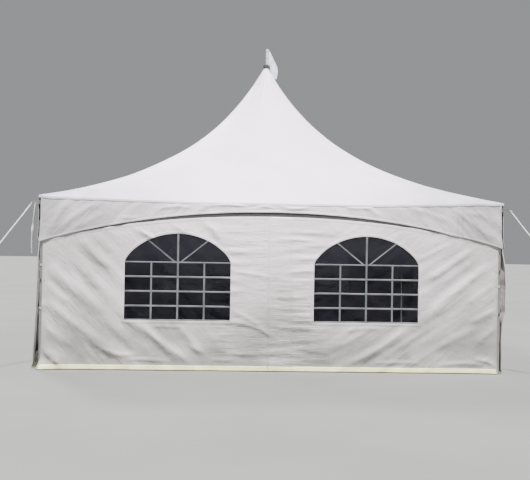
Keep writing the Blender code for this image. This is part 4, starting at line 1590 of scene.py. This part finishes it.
@dataclass
class Valance(Assembly):
    """The band of cloth that hangs from the eave on one side, with its arched lower edge."""

    side: Side
    full_end: float = 2.9965
    corner_slit: float = 0.0185
    side_slit: float = 0.0040
    head_gap: float = 0.0060
    columns: int = 216
    rows: int = 16
    thickness: float = CLOTH_THICKNESS
    hem_width: float = 0.026
    flick: float = 0.022
    flick_reach: float = 0.075
    level: float = 0.0030
    slack: float = 0.011
    slack_middle: float = 2.33
    slack_reach: float = 0.17
    end: float = field(init=False)
    folds: tuple[Fold, ...] = field(init=False)
    ripples: Ripples = field(init=False)
    pulls: Pulls = field(init=False)

    def __post_init__(self) -> None:
        """Draw the side's folds, ripples and pulls: front and back bands stop short of the posts' ears."""
        slit = self.corner_slit if self.side in (Side.FRONT, Side.BACK) else self.side_slit
        self.end = self.full_end - slit
        dice = np.random.default_rng(80 + self.side.value)
        self.folds = side_folds(VALANCE_FOLDS, self.side, dice)
        self.ripples = Ripples(dice, 12, 0.12, 0.60, 0.0010)
        self.pulls = Pulls(dice, (134.0, 44.0), 0.0034, (0.07, 0.24))

    def at(self, x: Array, share: Array, lift: float = 0.0) -> Array:
        """Points of the band: share 0 at the arched lower edge and 1 at the head under the eave.

        Folds and ripples stand out of the plane, the lower corners flick outwards and aside, and
        the edge hangs slack below the doubled strip.

        Args:
            x: place along the side.
            share: place from the lower edge to the head.
            lift: how far out of the cloth's face.

        Returns:
            Points, in a last axis of 3.
        """
        x, share = np.broadcast_arrays(x, share)
        low, high = self.tent.arch(x), self.tent.eave(x) - self.head_gap
        z = low + (high - low) * share
        out = self.ripples.depth(x, z) + self.pulls.depth(x, z) + self.level
        for fold in self.folds:
            out = out + fold.depth(x, z)
        out = out * (0.15 + 0.85 * eased((1.0 - share) * 4.0))
        corner = np.exp(-((self.end - np.abs(x)) / self.flick_reach) ** 2) * (1.0 - share) ** 4
        out = out + self.flick * 0.7 * corner + 0.0012 * (1.0 - share)
        aside = np.sign(x) * self.flick * corner
        slack = self.slack * np.exp(-((x - self.slack_middle) / self.slack_reach) ** 2) * (1.0 - share) ** 2
        return placed(x + aside, -(self.tent.valance_middle + np.maximum(out, 0.0) + lift),
                      z - 0.010 * corner - slack)

    def flat_area(self) -> float:
        """Area of the cut band, between its arched edge and its head."""
        x = np.linspace(-self.end, self.end, 400)
        depth = self.tent.eave(x) - self.head_gap - self.tent.arch(x)
        return float(np.sum((depth[1:] + depth[:-1]) / 2 * np.diff(x)))

    def build(self) -> None:
        """Build the band and its hems and welds."""
        x = (self.end * np.sin(np.linspace(-1.0, 1.0, self.columns + 1) * 1.2) / math.sin(1.2))[None, :]
        share = np.linspace(0.0, 1.0, self.rows + 1)[:, None]
        places = self.at(x, share)
        band = self.side.piece("valance_cloth")
        band.sheet(places, places[..., [0, 2]], WallCloth.INSIDE, crossed=x[0, 1:] > 0.0)
        trim = self.side.piece("valance_trim")
        across = np.array([0.0, 0.12, 0.5, 0.88, 1.0])
        along = np.linspace(-self.end, self.end, 200)[:, None]
        depth = self.tent.eave(along) - self.head_gap - self.tent.arch(along)
        trim.slab(self.at(along, across[None, :] * self.hem_width / depth), WallCloth.OUT, 0.0026)
        heights = np.linspace(0.02, 0.97, 30)[:, None]
        uprights = [(hand * (self.end - 0.0145), 0.028, 0.0040) for hand in (-1, 1)]
        uprights += [(2.412, 0.026, 0.0044), (2.472, 0.020, 0.0036), (-1.920, 0.014, 0.0018),
                     (-2.475, 0.016, 0.0016), (-0.45, 0.014, 0.0016), (1.00, 0.014, 0.0016)]
        for middle, width, rise in uprights:
            columns = middle + width * (across - 0.5)[None, :]
            trim.slab(self.at(columns, heights), WallCloth.OUT, rise)
        hem = trim.build(self.finishes.valance_weld, "valance_cloth", sharp=TRIM_ANGLE)
        cloth = band.build(self.finishes.valance, "valance_cloth", self.thickness)
        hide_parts(f"valance_{self.side.label}")
        deepest = float(self.tent.eave_height - self.head_gap - self.tent.arch(np.array(self.end)))
        self.flat_area()


@dataclass
class Canopy(Assembly):
    """The canopy: one continuous curved sheet from the crown to a rolled bead along the eave."""

    rows: int = 100
    gore_columns: int = 54
    bead_rows: int = 9
    gathers: float = 0.0035
    fan: float = 0.0050
    puckers: float = 0.0016
    bead_out: float = 0.0034
    bead_drop: float = 0.033
    tape_start: float = 0.23
    tape_width: float = 0.075
    patch_start: float = 0.895
    trim_end: float = 0.996
    trim_sink: float = 0.0015
    panel_edges: tuple[float, ...] = (-1.92, -0.45, 1.00, 2.45)
    thickness: float = CLOTH_THICKNESS
    ripples: Ripples = field(init=False)

    def __post_init__(self) -> None:
        """Draw the canopy's faint unevenness."""
        self.ripples = Ripples(np.random.default_rng(7), 16, 0.5, 2.2, 0.0026)

    def normal(self, t: Array, angle: Array) -> Array:
        """Outward direction: the cross product of the steps down the slope and round the tent.

        Args:
            t: 0 at the crown to 1 at the eave.
            angle: turn round the tent from the front gore's middle, in radians.

        Returns:
            Unit vectors, in a last axis of 3.
        """
        t, angle = np.broadcast_arrays(np.clip(t, 0.0, 1.0), angle)
        step = 2e-4
        below, above = np.minimum(t + step, 1.0), np.maximum(t - step, 0.0)
        down = self.tent.canopy(below, angle) - self.tent.canopy(above, angle)
        aside = self.tent.canopy(t, angle + step) - self.tent.canopy(t, angle - step)
        return unit(np.cross(down, aside))

    def wrinkle(self, t: Array, angle: Array) -> Array:
        """How far the cloth stands out of its smooth form.

        Gathers at the crown, tension folds that fan from each corner, and puckers along the eave are
        added to the ripples, which fade out at the crown.

        Args:
            t: 0 at the crown to 1 at the eave.
            angle: turn round the tent from the front gore's middle, in radians.

        Returns:
            The distance at each point.
        """
        base = self.tent.canopy(t, angle)
        uneven = self.ripples.depth(base[..., 0], base[..., 1]) * eased(t / 0.25)
        pleats = 1.0 + np.sin(22.0 * angle + 0.6 * np.sin(3 * angle))
        gathers = self.gathers * np.exp(-((t - 0.06) / 0.055) ** 2) * pleats
        from_hip = np.abs((angle / QUARTER) % 1.0 - 0.5)
        near_corner = np.exp(-((1.0 - t) / 0.16) ** 2) * np.exp(-(from_hip / 0.17) ** 2)
        fan = self.fan * near_corner * (1.0 + np.cos(from_hip * 62.0 / (0.35 + 1.6 * (1.0 - t))))
        along = np.sin(angle * 37.0 + 1.3 * np.sin(angle * 5.0)) + 0.6 * np.sin(angle * 71.0 + 2.0)
        puckers = self.puckers * np.exp(-(1.0 - t) / 0.022) * along
        return np.maximum(uneven + gathers + fan + puckers, -0.0015 - 0.01 * eased((t - 0.08) / 0.1))

    def at(self, t: Array, angle: Array, lift: float = 0.0) -> Array:
        """Points of the canopy, lifted along its outward direction."""
        t, angle = np.broadcast_arrays(t, angle)
        out = self.wrinkle(t, angle) + lift - self.thickness / 2
        return self.tent.canopy(t, angle) + self.normal(t, angle) * out[..., None]

    def angles(self) -> Array:
        """Angles of the grid's columns round the tent, crowded towards the hips."""
        share = np.linspace(-1.0, 1.0, self.gore_columns, endpoint=False)
        gore = math.pi / 4 * np.sin(share * QUARTER)
        return np.concatenate([gore + turn * QUARTER for turn in range(4)])

    def bead(self, edge: Array, angle: Array) -> Array:
        """Rows of the eave's bead: it bulges outwards, most low down, and ends on the valance.

        Args:
            edge: the points of the canopy's last row.
            angle: their turns round the tent.

        Returns:
            Rows of points, from the upper to the lower.
        """
        share = 0.5 - 0.5 * np.cos(np.linspace(0.0, math.pi, self.bead_rows + 1)[1:, None])
        roll = 1.0 + 0.10 * np.sin(angle * 43.0 + 0.8 * np.sin(angle * 7.0))[None, :]
        out = self.bead_out * np.sin(math.pi * share ** 2.0) * roll + 0.0006 - 0.0010 * share ** 3
        down = self.bead_drop * share * (0.97 + 0.03 * roll)
        spread = 1.0 + out / self.tent.eave_half
        return placed(edge[:, 0] * spread, edge[:, 1] * spread, edge[:, 2] - down)

    def beside_hip(self, hip: int, t: Array, aside: Array) -> Array:
        """Angle at a distance aside from a hip, taking the plan section there as square."""
        radius = self.tent.plan_radius(t)
        offset = math.pi / 4 - np.arctan((radius - np.minimum(np.abs(aside), radius)) / radius)
        return (hip + 0.5) * QUARTER + np.sign(aside) * offset

    def build(self) -> None:
        """Build the sheet with its bead, then the reinforcements and welds that lie on it."""
        trim = self.build_trim()
        shares = np.linspace(0.0, 1.0, self.rows + 1) ** 1.45
        angle = self.angles()
        slope = self.at(shares[:, None], angle[None, :])
        slope[-1, :, :2] = self.tent.canopy(np.ones_like(angle), angle)[:, :2]
        grid = np.concatenate([slope, self.bead(slope[-1], angle)])
        reach = np.linalg.norm(grid[..., :2], axis=-1)
        maps = placed(reach * angle[None, :], running(grid[:, 0])[:, None])
        piece = Piece("canopy_cloth")
        piece.sheet(grid, maps, (0.0, 0.0, 1.2), True)
        canopy = piece.build(self.finishes.canopy, "canopy_cloth", self.thickness)
        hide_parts("roof_front", "roof_right", "roof_back", "roof_left")
        smooth = self.tent.canopy(shares[:, None], angle[None, :])
        area = surface(np.concatenate([smooth, smooth[:, :1]], axis=1))
        area += 8 * self.tent.eave_half * 1.08 * self.bead_drop

    def build_trim(self) -> Thing:
        """Build the hip tapes, corner patches, the boot round the crown and the panel welds.

        Returns:
            The trim's object.
        """
        piece = Piece("canopy_trim")
        places = np.array([-0.5, -0.44, -0.2, 0.0, 0.2, 0.44, 0.5])
        for hip in range(4):
            t = (np.linspace(self.tape_start, self.trim_end, 110) ** 1.2)[:, None]
            angle = self.beside_hip(hip, t, places[None, :] * self.tape_width)
            piece.slab(self.at(t, angle), self.normal(t, angle), 0.0022, self.trim_sink, bent=True)
            t = np.linspace(self.patch_start, self.trim_end, 18)[:, None]
            spread = 0.05 + (t - self.patch_start) / 0.10 * 0.34
            angle = self.beside_hip(hip, t, 2.0 * places[None, :] * spread)
            piece.slab(self.at(t, angle), self.normal(t, angle), 0.0034, self.trim_sink, bent=True)
        angle = around(96)[:, None]
        t = np.array([0.060, 0.0585, 0.046, 0.030, 0.015, 0.004])[None, :]
        piece.slab(self.at(t, angle), self.normal(t, angle), 0.0030, 0.0006, wrap=True)
        for gore in range(4):
            for x in self.panel_edges:
                self.panel_weld(piece, gore, x)
        return piece.build(self.finishes.canopy_weld, "canopy_cloth", sharp=TRIM_ANGLE)

    def panel_weld(self, piece: Piece, gore: int, x: float, width: float = 0.030) -> None:
        """Lay a weld straight down a gore at x: at each t the section's formula gives its place.

        Args:
            piece: the mesh that the weld goes into.
            gore: quarter turns from the front gore.
            x: place across the gore.
            width: the weld's width.
        """
        tent = self.tent
        t = np.linspace(0.0, self.trim_end, 400)
        radius = tent.plan_radius(t)
        power = tent.roundness(t)
        ratio = np.clip(abs(x) / radius, 0.0, 1.0)
        out = radius * np.maximum(1.0 - ratio ** power, 0.0) ** (1.0 / power)
        t = np.linspace(float(t[np.argmax(out > abs(x) + 0.05)]), self.trim_end, 70)[:, None]
        radius = tent.plan_radius(t)
        power = tent.roundness(t)
        columns = x + width * np.array([-0.5, -0.38, 0.0, 0.38, 0.5])[None, :]
        out = radius * (1.0 - (np.abs(columns) / radius) ** power) ** (1.0 / power)
        angle = np.arctan2(columns, out) + gore * QUARTER
        piece.slab(self.at(t, angle), self.normal(t, angle), 0.0014, self.trim_sink)


@dataclass
class Pennant(Assembly):
    """The limp pennant on the flag pole: hung from its hoist, its lower edge just off the roof."""

    fly: float = 0.154
    drop: float = 0.476
    cord_ring: float = 0.0262
    cord_radius: float = 0.0017
    head_gap: float = 0.020
    clearance: float = 0.020
    collar_rise: float = 0.0523
    collar_reach: float = 0.067
    thickness: float = 0.0014

    def lower_edge(self, x: Array) -> Array:
        """Height of the lower edge: the roof's slope and a clearance, but not below the full drop.

        Args:
            x: distance from the flag pole's axis.

        Returns:
            The height at each distance.
        """
        tent = self.tent
        reach = x + tent.flag_pole_offset
        t = np.clip((reach - tent.crown_opening) / (tent.eave_half - tent.crown_opening), 0.0, 1.0)
        slope = tent.eave_height + tent.rim_profile(t) + self.clearance
        crown = tent.eave_height + tent.crown_rise + self.collar_rise
        near = np.where(reach < self.collar_reach, crown, slope)
        return np.maximum(tent.flag_pole_top - self.head_gap - self.drop, near)

    def build(self) -> None:
        """Build the cloth on a grid: columns out from the hoist, rows from the upper to the lower edge."""
        top = self.tent.flag_pole_top - self.head_gap
        share = np.linspace(0.0, 1.0, 30)
        upper = np.interp(share, (0.0, 0.11, 0.53, 0.95, 1.0), (0.0, 0.03, 0.30, 0.58, 0.72))
        free = np.interp(share, (0.90, 0.96, 1.0), (0.97, 0.85, 0.74))
        x = self.tent.flag_pole_radius + 0.0006 + self.fly * share
        low = np.where(share > 0.90, top - self.drop * free, self.lower_edge(x))
        high = top - self.drop * upper
        down = np.linspace(0.0, 1.0, 34)[:, None]
        z = high[None, :] + (low - high)[None, :] * down
        loose = eased(share / 0.35)[None, :]
        waves = 0.0085 * loose * np.sin(share[None, :] * 15.0 + down * 2.2)
        y = waves + 0.006 * loose * np.sin(down * 5.0 + 1.0)
        grid = placed(x + self.tent.flag_pole_offset, y, z)
        piece = Piece("pennant_cloth")
        piece.sheet(grid, grid[..., [0, 2]], (0.1, 5.0, 4.7))
        cloth = piece.build(self.finishes.pennant, "pennant_cloth", self.thickness)
        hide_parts("pennant")
        cords = Piece("pennant_cords")
        turns = around(28)
        for height in (top - 0.008, float(low[0]) + 0.014, (top + float(low[0])) / 2):
            ring = placed(self.tent.flag_pole_offset + self.cord_ring * np.cos(turns),
                          self.cord_ring * np.sin(turns), height + 0.003 * np.sin(turns))
            cords.tube(ring, self.cord_radius, 8, wrap=True)
        loops = cords.build(self.finishes.strap, "pennant_cloth")


@dataclass
class GuyLine(Assembly):
    """One corner's strap, with the shackle on the post's ear, the ratchet, and the loop on its stake."""

    corner: Corner
    tail_drop: float = 0.0
    tail_width: float = 0.026
    thickness: float = 0.0026
    ratchet_share: float = 0.60

    def along(self, share: Array | float) -> Array:
        """Points of the strap's middle line, from the ear's tip at 0 to the stake at 1."""
        tent = self.tent
        start = np.array([tent.post_diagonal + tent.ear_reach + 0.012, 0.0, tent.ear_middle - 0.008])
        stop = np.array([tent.stake_diagonal - tent.stake_radius - 0.001, 0.0, tent.strap_foot])
        return start + (stop - start) * np.asarray(share)[..., None]

    @property
    def heading(self) -> Array:
        """Unit vector down the strap."""
        return unit(self.along(1.0) - self.along(0.0))

    @property
    def facing(self) -> Array:
        """Unit vector square to the strap, up and outwards."""
        return np.array([-self.heading[2], 0.0, self.heading[0]])

    def webbing(self, piece: Piece, path: Array, flat: Array, face: Array, width: float) -> None:
        """Carry the strap's rounded flat section along a path.

        Args:
            piece: the piece that it is added to.
            path: points of the middle line.
            flat: unit vectors across the strap, one for each point or one for all.
            face: unit vectors square to the strap, likewise.
            width: width of the strap.
        """
        half, edge = width / 2, self.thickness / 2
        section = [(-half, 0.0), (-half + edge, edge), (-width / 6, edge * 1.15), (width / 6, edge * 1.15),
                   (half - edge, edge), (half, 0.0), (half - edge, -edge), (-half + edge, -edge)]
        piece.carry(np.array(section), path, flat, face)

    def build(self) -> None:
        """Build the strap, its sewn laps, the loop on the stake, the tail, and the metal fittings."""
        width, ratchet = self.tent.strap_width, self.ratchet_share
        strap = self.corner.piece("guy_strap_webbing")
        self.webbing(strap, self.along(np.linspace(0.004, 0.993, 90)), SIDEWAYS, self.facing, width)
        for low, high in ((0.006, 0.060), (0.925, 0.985), (ratchet + 0.03, ratchet + 0.10)):
            lap = self.along(np.linspace(low, high, 14)) + self.facing * self.thickness
            self.webbing(strap, lap, SIDEWAYS, self.facing, width * 0.97)
        self.build_stake_loop(strap)
        if self.tail_drop:
            self.build_tail(strap)
        webbing = strap.build(self.finishes.strap, "strap_webbing", sharp=60)
        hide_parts(f"guy_strap_{self.corner.label}")
        self.build_ratchet()
        self.build_shackle()

    def build_stake_loop(self, strap: Piece) -> None:
        """Add the loop of webbing round the stake's neck.

        Args:
            strap: the mesh that the loop goes into.
        """
        turns = around(32)
        spoke = placed(np.cos(turns), np.sin(turns), 0.0)
        centre = np.array([self.tent.stake_diagonal, 0.0, self.tent.strap_foot])
        tilt = placed(0.0, 0.0, -0.35 * (spoke[:, 0] + 1.0) * self.tent.stake_radius)
        half, edge = 0.012, self.thickness / 2
        section = np.array([(-edge, -half), (edge, -half), (edge, half), (-edge, half)])
        radius = self.tent.stake_radius + 0.0016
        grid = (centre + tilt)[:, None] + spoke[:, None] * (radius + section[:, :1]) + UP * section[:, 1:]
        strap.sweep(grid, np.broadcast_to(section[None], (*grid.shape[:2], 2)), wrap=True)

    def build_tail(self, strap: Piece) -> None:
        """Add the strap's loose tail, hanging from the ear with a half twist in its length.

        Args:
            strap: the mesh that the tail goes into.
        """
        share = np.linspace(0.0, 1.0, 60)
        x = self.tent.post_diagonal + 0.128 + 0.030 * np.sin(share * 2.6) + 0.020 * share
        height = self.tent.ear_middle - 0.012 - self.tail_drop * share
        path = placed(x, 0.012 + 0.006 * np.sin(share * 5.0), height)
        twist = math.pi * eased((share - 0.30) / 0.34) + 0.5
        flat, face = placed(np.cos(twist), np.sin(twist), 0.0), placed(-np.sin(twist), np.cos(twist), 0.0)
        self.webbing(strap, path, flat, face, self.tail_width)

    def build_ratchet(self) -> None:
        """Build the ratchet: side plates, a handle with its grip, a spool with toothed wheels, and a pin."""
        piece = self.corner.piece("ratchet")
        centre = self.along(self.ratchet_share)
        down, up, half = self.heading, self.facing, self.tent.strap_width / 2

        def spot(forward: float, rise: float, aside: float = 0.0) -> Array:
            """Point by its distances down the strap, out of it and across it."""
            return centre + down * forward + up * rise + SIDEWAYS * aside

        plate = [(-0.065, -0.007), (0.045, -0.009), (0.058, 0.004), (0.052, 0.022), (0.020, 0.030),
                 (-0.010, 0.020), (-0.060, 0.010), (-0.070, 0.002)]
        handle = [(-0.006, 0.010), (0.010, 0.006), (0.018, 0.018), (0.016, 0.034), (-0.085, 0.044),
                  (-0.110, 0.038), (-0.112, 0.031), (-0.085, 0.029)]
        wheel = np.where(np.arange(24) % 2, 0.0155, 0.0190)
        rim = [(0.020 + r * math.cos(a), 0.008 + r * math.sin(a)) for a, r in zip(around(24), wheel)]
        for hand in (-1, 1):
            for shape, gap, thick in ((plate, 0.0035, 0.002), (handle, 0.0070, 0.002), (rim, 0.010, 0.0022)):
                outline = np.array([spot(f, r, hand * (half + gap)) for f, r in shape])
                piece.prism(outline, SIDEWAYS * thick * hand)
        bars = (((0.020, 0.008), 0.016, 0.0075, [], 18), ((-0.056, 0.002), 0.012, 0.0045, [], 14),
                ((-0.102, 0.036), 0.009, 0.0070, [(0.0082, 0.0)], 16))
        for place, past, radius, middle, sides in bars:
            profile = [(radius, -half - past), *middle, (radius, half + past)]
            piece.lathe(profile, spot(*place), SIDEWAYS, sides)
        piece.build(self.finishes.fitting, "stake_steel", sharp=35, bevel=0.0006)

    def build_shackle(self) -> None:
        """Build the bow shackle through the ear's tip, with its cross pin and the pin's head."""
        piece = self.corner.piece("shackle")
        tent = self.tent
        tip = np.array([tent.post_diagonal + tent.ear_reach - 0.014, 0.0, tent.ear_middle - 0.002])
        bend = np.linspace(-QUARTER, QUARTER, 15)
        bow = placed(0.034 + 0.020 * np.cos(bend), 0.0165 * np.sin(bend), -0.012 * np.cos(bend) - 0.008)
        legs = np.array([[0.0, -0.0125, 0.0], [0.018, -0.0140, -0.004]])
        far_legs = legs[::-1] * np.array([1.0, -1.0, 1.0])
        piece.tube(tip + np.concatenate([legs, bow, far_legs]), 0.0036, 10)
        pin = [(0.0065, -0.021), (0.0065, -0.0165), (0.0042, -0.0165), (0.0042, 0.0185)]
        piece.lathe(pin, tip, SIDEWAYS, 16)
        piece.build(self.finishes.fitting, "stake_steel", sharp=40)


@dataclass
class PostFittings(Assembly):
    """What is fixed to one corner post: ties that hold the walls to it, foot bolts and a canopy eyelet."""

    corner: Corner
    tie_heights: tuple[float, ...] = (1.335, 1.140, 0.780)
    tie_width: float = 0.026
    tie_thickness: float = 0.0020
    bolt_turns: tuple[float, ...] = (0.5, 2.6, 4.7)
    bolt_circle: float = 0.056
    eyelet_slope: float = 14.0

    def build(self) -> None:
        """Build the ties with their buckles, the bolts in the foot, and the eyelet over the pin."""
        self.build_ties()
        metal = self.corner.piece("post_bolts")
        axis = np.array([self.tent.post_diagonal, 0.0, 0.0])
        top = self.tent.foot_thickness
        washer = [(0.0098, top + 0.0002), (0.0098, top + 0.0018)]
        head = [(0.0072, top + 0.0016), (0.0072, top + 0.0075), (0.0060, top + 0.0085)]
        for turn in self.bolt_turns:
            centre = axis + self.bolt_circle * np.array([math.cos(turn), math.sin(turn), 0.0])
            metal.lathe(washer, centre, UP, 18)
            metal.lathe(head, centre, UP, 6)
        slope = math.radians(self.eyelet_slope)
        normal = np.array([math.sin(slope), 0.0, math.cos(slope)])
        centre = np.array([self.tent.post_diagonal - 0.006, 0.0, self.tent.eave_height + 0.0140])
        eyelet = [(0.0085, 0.0), (0.0085, 0.0035), (0.011, 0.0055), (0.018, 0.0045), (0.022, 0.0)]
        metal.lathe(eyelet, centre, normal, 28, wrap=True)
        metal.lathe([(0.0078, -0.004), (0.0078, 0.006), (0.0060, 0.0095)], centre, normal, 20, crown=0.0010)
        metal.build(self.finishes.fitting, "stake_steel", sharp=35)

    def build_ties(self) -> None:
        """Build the ties: each a band from the front sheet's end round the post to the side sheet's end."""
        bands = self.corner.piece("wall_ties")
        buckles = self.corner.piece("tie_buckles")
        centre = self.tent.post_diagonal
        bend = np.linspace(-math.pi / 4, math.pi / 4, 15)
        radius = self.tent.post_radius + 0.0040
        arc = placed(centre + radius * np.cos(bend), radius * np.sin(bend))
        tangent = unit(np.array([[-math.sin(math.pi / 4), -math.cos(math.pi / 4)]]))[0]
        run, share = np.linspace(0.040, 0.004, 8)[:, None], np.linspace(1, 0, 8)[:, None]
        lead = arc[0] + run * tangent + np.array([0.0050, -0.0050]) * share
        plan = np.concatenate([lead, arc, (lead * np.array([1.0, -1.0]))[::-1]])
        ahead = unit(np.gradient(plan, axis=0))
        out = placed(ahead[:, 1], -ahead[:, 0], 0.0)
        half, edge = self.tie_width / 2, self.tie_thickness / 2
        section = np.array([(-edge, -half), (edge, -half), (edge, half), (-edge, half)])
        for number, height in enumerate(self.tie_heights):
            bands.carry(section, placed(plan[:, 0], plan[:, 1], height), out, UP, flat=1)
            self.add_buckle(buckles, height, 0.42 if number % 2 else -0.42)
        bands.build(self.finishes.tie, "strap_webbing", sharp=TRIM_ANGLE)
        buckles.build(self.finishes.crown, "crown_casting", sharp=40, bevel=0.0008)

    def add_buckle(self, piece: Piece, height: float, turn: float) -> None:
        """Add a side-release buckle on a tie: a crowned body carried round the post, with its two prongs.

        Args:
            piece: the mesh that the buckle goes into.
            height: its middle over the ground.
            turn: its turn round the post, in radians.
        """
        share = np.linspace(-1.0, 1.0, 9)
        bend = turn + np.linspace(-0.34, 0.34, 9)
        half, thick = 0.019 - 0.004 * share ** 2, 0.0075 - 0.0025 * share ** 2
        radius = self.tent.post_radius + 0.0050
        spoke = placed(np.cos(bend), np.sin(bend), 0.0)
        centre = np.array([self.tent.post_diagonal, 0.0, height])
        section = ((0.0, -1.0), (0.85, -0.92), (1.0, -0.5), (1.0, 0.5), (0.85, 0.92), (0.0, 1.0))
        rows = [centre + spoke * (radius + out * thick)[:, None] + UP * (rise * half)[:, None]
                for out, rise in section]
        piece.sweep(np.stack(rows, axis=1))


class Studio:
    """A plain pale floor, soft light from above the camera, and the camera at the photographed angle."""

    CAMERA_PLACE = Vector((-0.542, -13.003, 1.600))
    CAMERA_YAW = -0.035
    CAMERA_ROLL = math.radians(0.93)
    LENS = 52.71
    SHIFT = (0.0130, 0.0140)
    FLOOR_RADIUS = 90.0
    FLOOR_LEVEL = -0.0004

    def build(self) -> None:
        """Set up the floor, the lights, the world and the camera."""
        self.build_floor()
        self.add_sun("key light", (0.06, -0.42, 1.0), 13.4, 5.0)
        self.add_sun("far light", (-0.45, 0.80, 0.80), 2.6, 10.0)
        self.add_sun("side light", (0.95, 0.30, 0.70), 1.6, 14.0)
        world = bpy.data.worlds.new("soft studio")
        world.use_nodes = True
        backdrop = world.node_tree.nodes["Background"]
        backdrop.inputs["Color"].default_value = (0.93, 0.96, 1.0, 1.0)
        backdrop.inputs["Strength"].default_value = 0.34
        bpy.context.scene.world = world
        self.add_camera()

    def build_floor(self) -> None:
        """Add the floor, a wide round plate."""
        turns = around(96)
        radius = self.FLOOR_RADIUS
        points = placed(radius * np.cos(turns), radius * np.sin(turns), self.FLOOR_LEVEL)
        mesh = bpy.data.meshes.new("floor")
        mesh.from_pydata(points.tolist(), [], [list(range(len(turns)))])
        recipe = Recipe("pale floor")
        tone = recipe.span(recipe.noise(0.5, 3.0), 0.3, 0.7)
        material = recipe.finish(recipe.blend(tone, (0.165, 0.165, 0.161), (0.150, 0.150, 0.146)), 0.85)
        mesh.materials.append(material)
        floor = bpy.data.objects.new("floor", mesh)
        bpy.context.scene.collection.objects.link(floor)

    def add_sun(self, name: str, towards: Triple, strength: float, spread: float) -> None:
        """Add a broad, soft light that shines from a direction.

        Args:
            name: the light's name.
            towards: direction from the tent to the light.
            strength: its strength on a surface that faces it, in watts to the square metre.
            spread: its angular width in degrees.
        """
        light = bpy.data.lights.new(name, "SUN")
        light.energy = strength
        light.angle = math.radians(spread)
        lamp = bpy.data.objects.new(name, light)
        lamp.rotation_euler = Vector(towards).to_track_quat("Z", "Y").to_euler()
        bpy.context.scene.collection.objects.link(lamp)

    def add_camera(self) -> None:
        """Add the camera, with the small shift that the photograph's framing needs."""
        data = bpy.data.cameras.new("camera")
        data.lens = self.LENS
        data.sensor_width = 36.0
        data.sensor_fit = "HORIZONTAL"
        data.shift_x, data.shift_y = self.SHIFT
        camera = bpy.data.objects.new("camera", data)
        turn = Matrix.Rotation(self.CAMERA_YAW, 4, "Z") @ Matrix.Rotation(QUARTER, 4, "X")
        camera.matrix_world = (Matrix.Translation(self.CAMERA_PLACE) @ turn
                               @ Matrix.Rotation(self.CAMERA_ROLL, 4, "Z"))
        bpy.context.scene.collection.objects.link(camera)
        bpy.context.scene.camera = camera


def dress_nodes(nodes: dict[str, Thing], finishes: Finishes) -> None:
    """Give the metal nodes, which keep their solids, their finishes.

    Args:
        nodes: the CAD nodes by name.
        finishes: the tent's finishes.
    """
    by_start = {
        "arch_rail_": finishes.rail, "post_": finishes.post, "king_pole": finishes.post,
        "crown_collar": finishes.crown, "flag_pole": finishes.flag_pole, "stake_": finishes.stake,
    }
    for name, node in nodes.items():
        for start, material in by_start.items():
            if name.startswith(start):
                node.data.materials.clear()
                node.data.materials.append(material)
                LOG.info("%s: dressed in %s", name, material.name)


def main() -> None:
    """Build the tent's sub-assemblies in order."""
    logging.basicConfig(level=logging.INFO, format="%(message)s")
    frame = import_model()
    tent, finishes = TentSizes(), Finishes()
    Studio().build()
    dress_nodes(frame["nodes"], finishes)
    Canopy(tent, finishes).build()
    hooks = WallHooks(tent, finishes)
    for side in Side:
        Valance(tent, finishes, side).build()
        cloth = WallCloth(tent, side)
        for half, half_name in zip((-1, 1), side.halves):
            WallHalf(tent, finishes, cloth, half, f"{side.label}_{half_name}").build()
        EntranceFlap(tent, finishes, cloth).build()
        hooks.build(side)
    Pennant(tent, finishes).build()
    tails = {Corner.FRONT_LEFT: 0.64, Corner.BACK_RIGHT: 0.38, Corner.BACK_LEFT: 0.20}
    for corner in Corner:
        GuyLine(tent, finishes, corner, tails.get(corner, 0.0)).build()
        PostFittings(tent, finishes, corner).build()


if __name__ == "__main__":
    main()
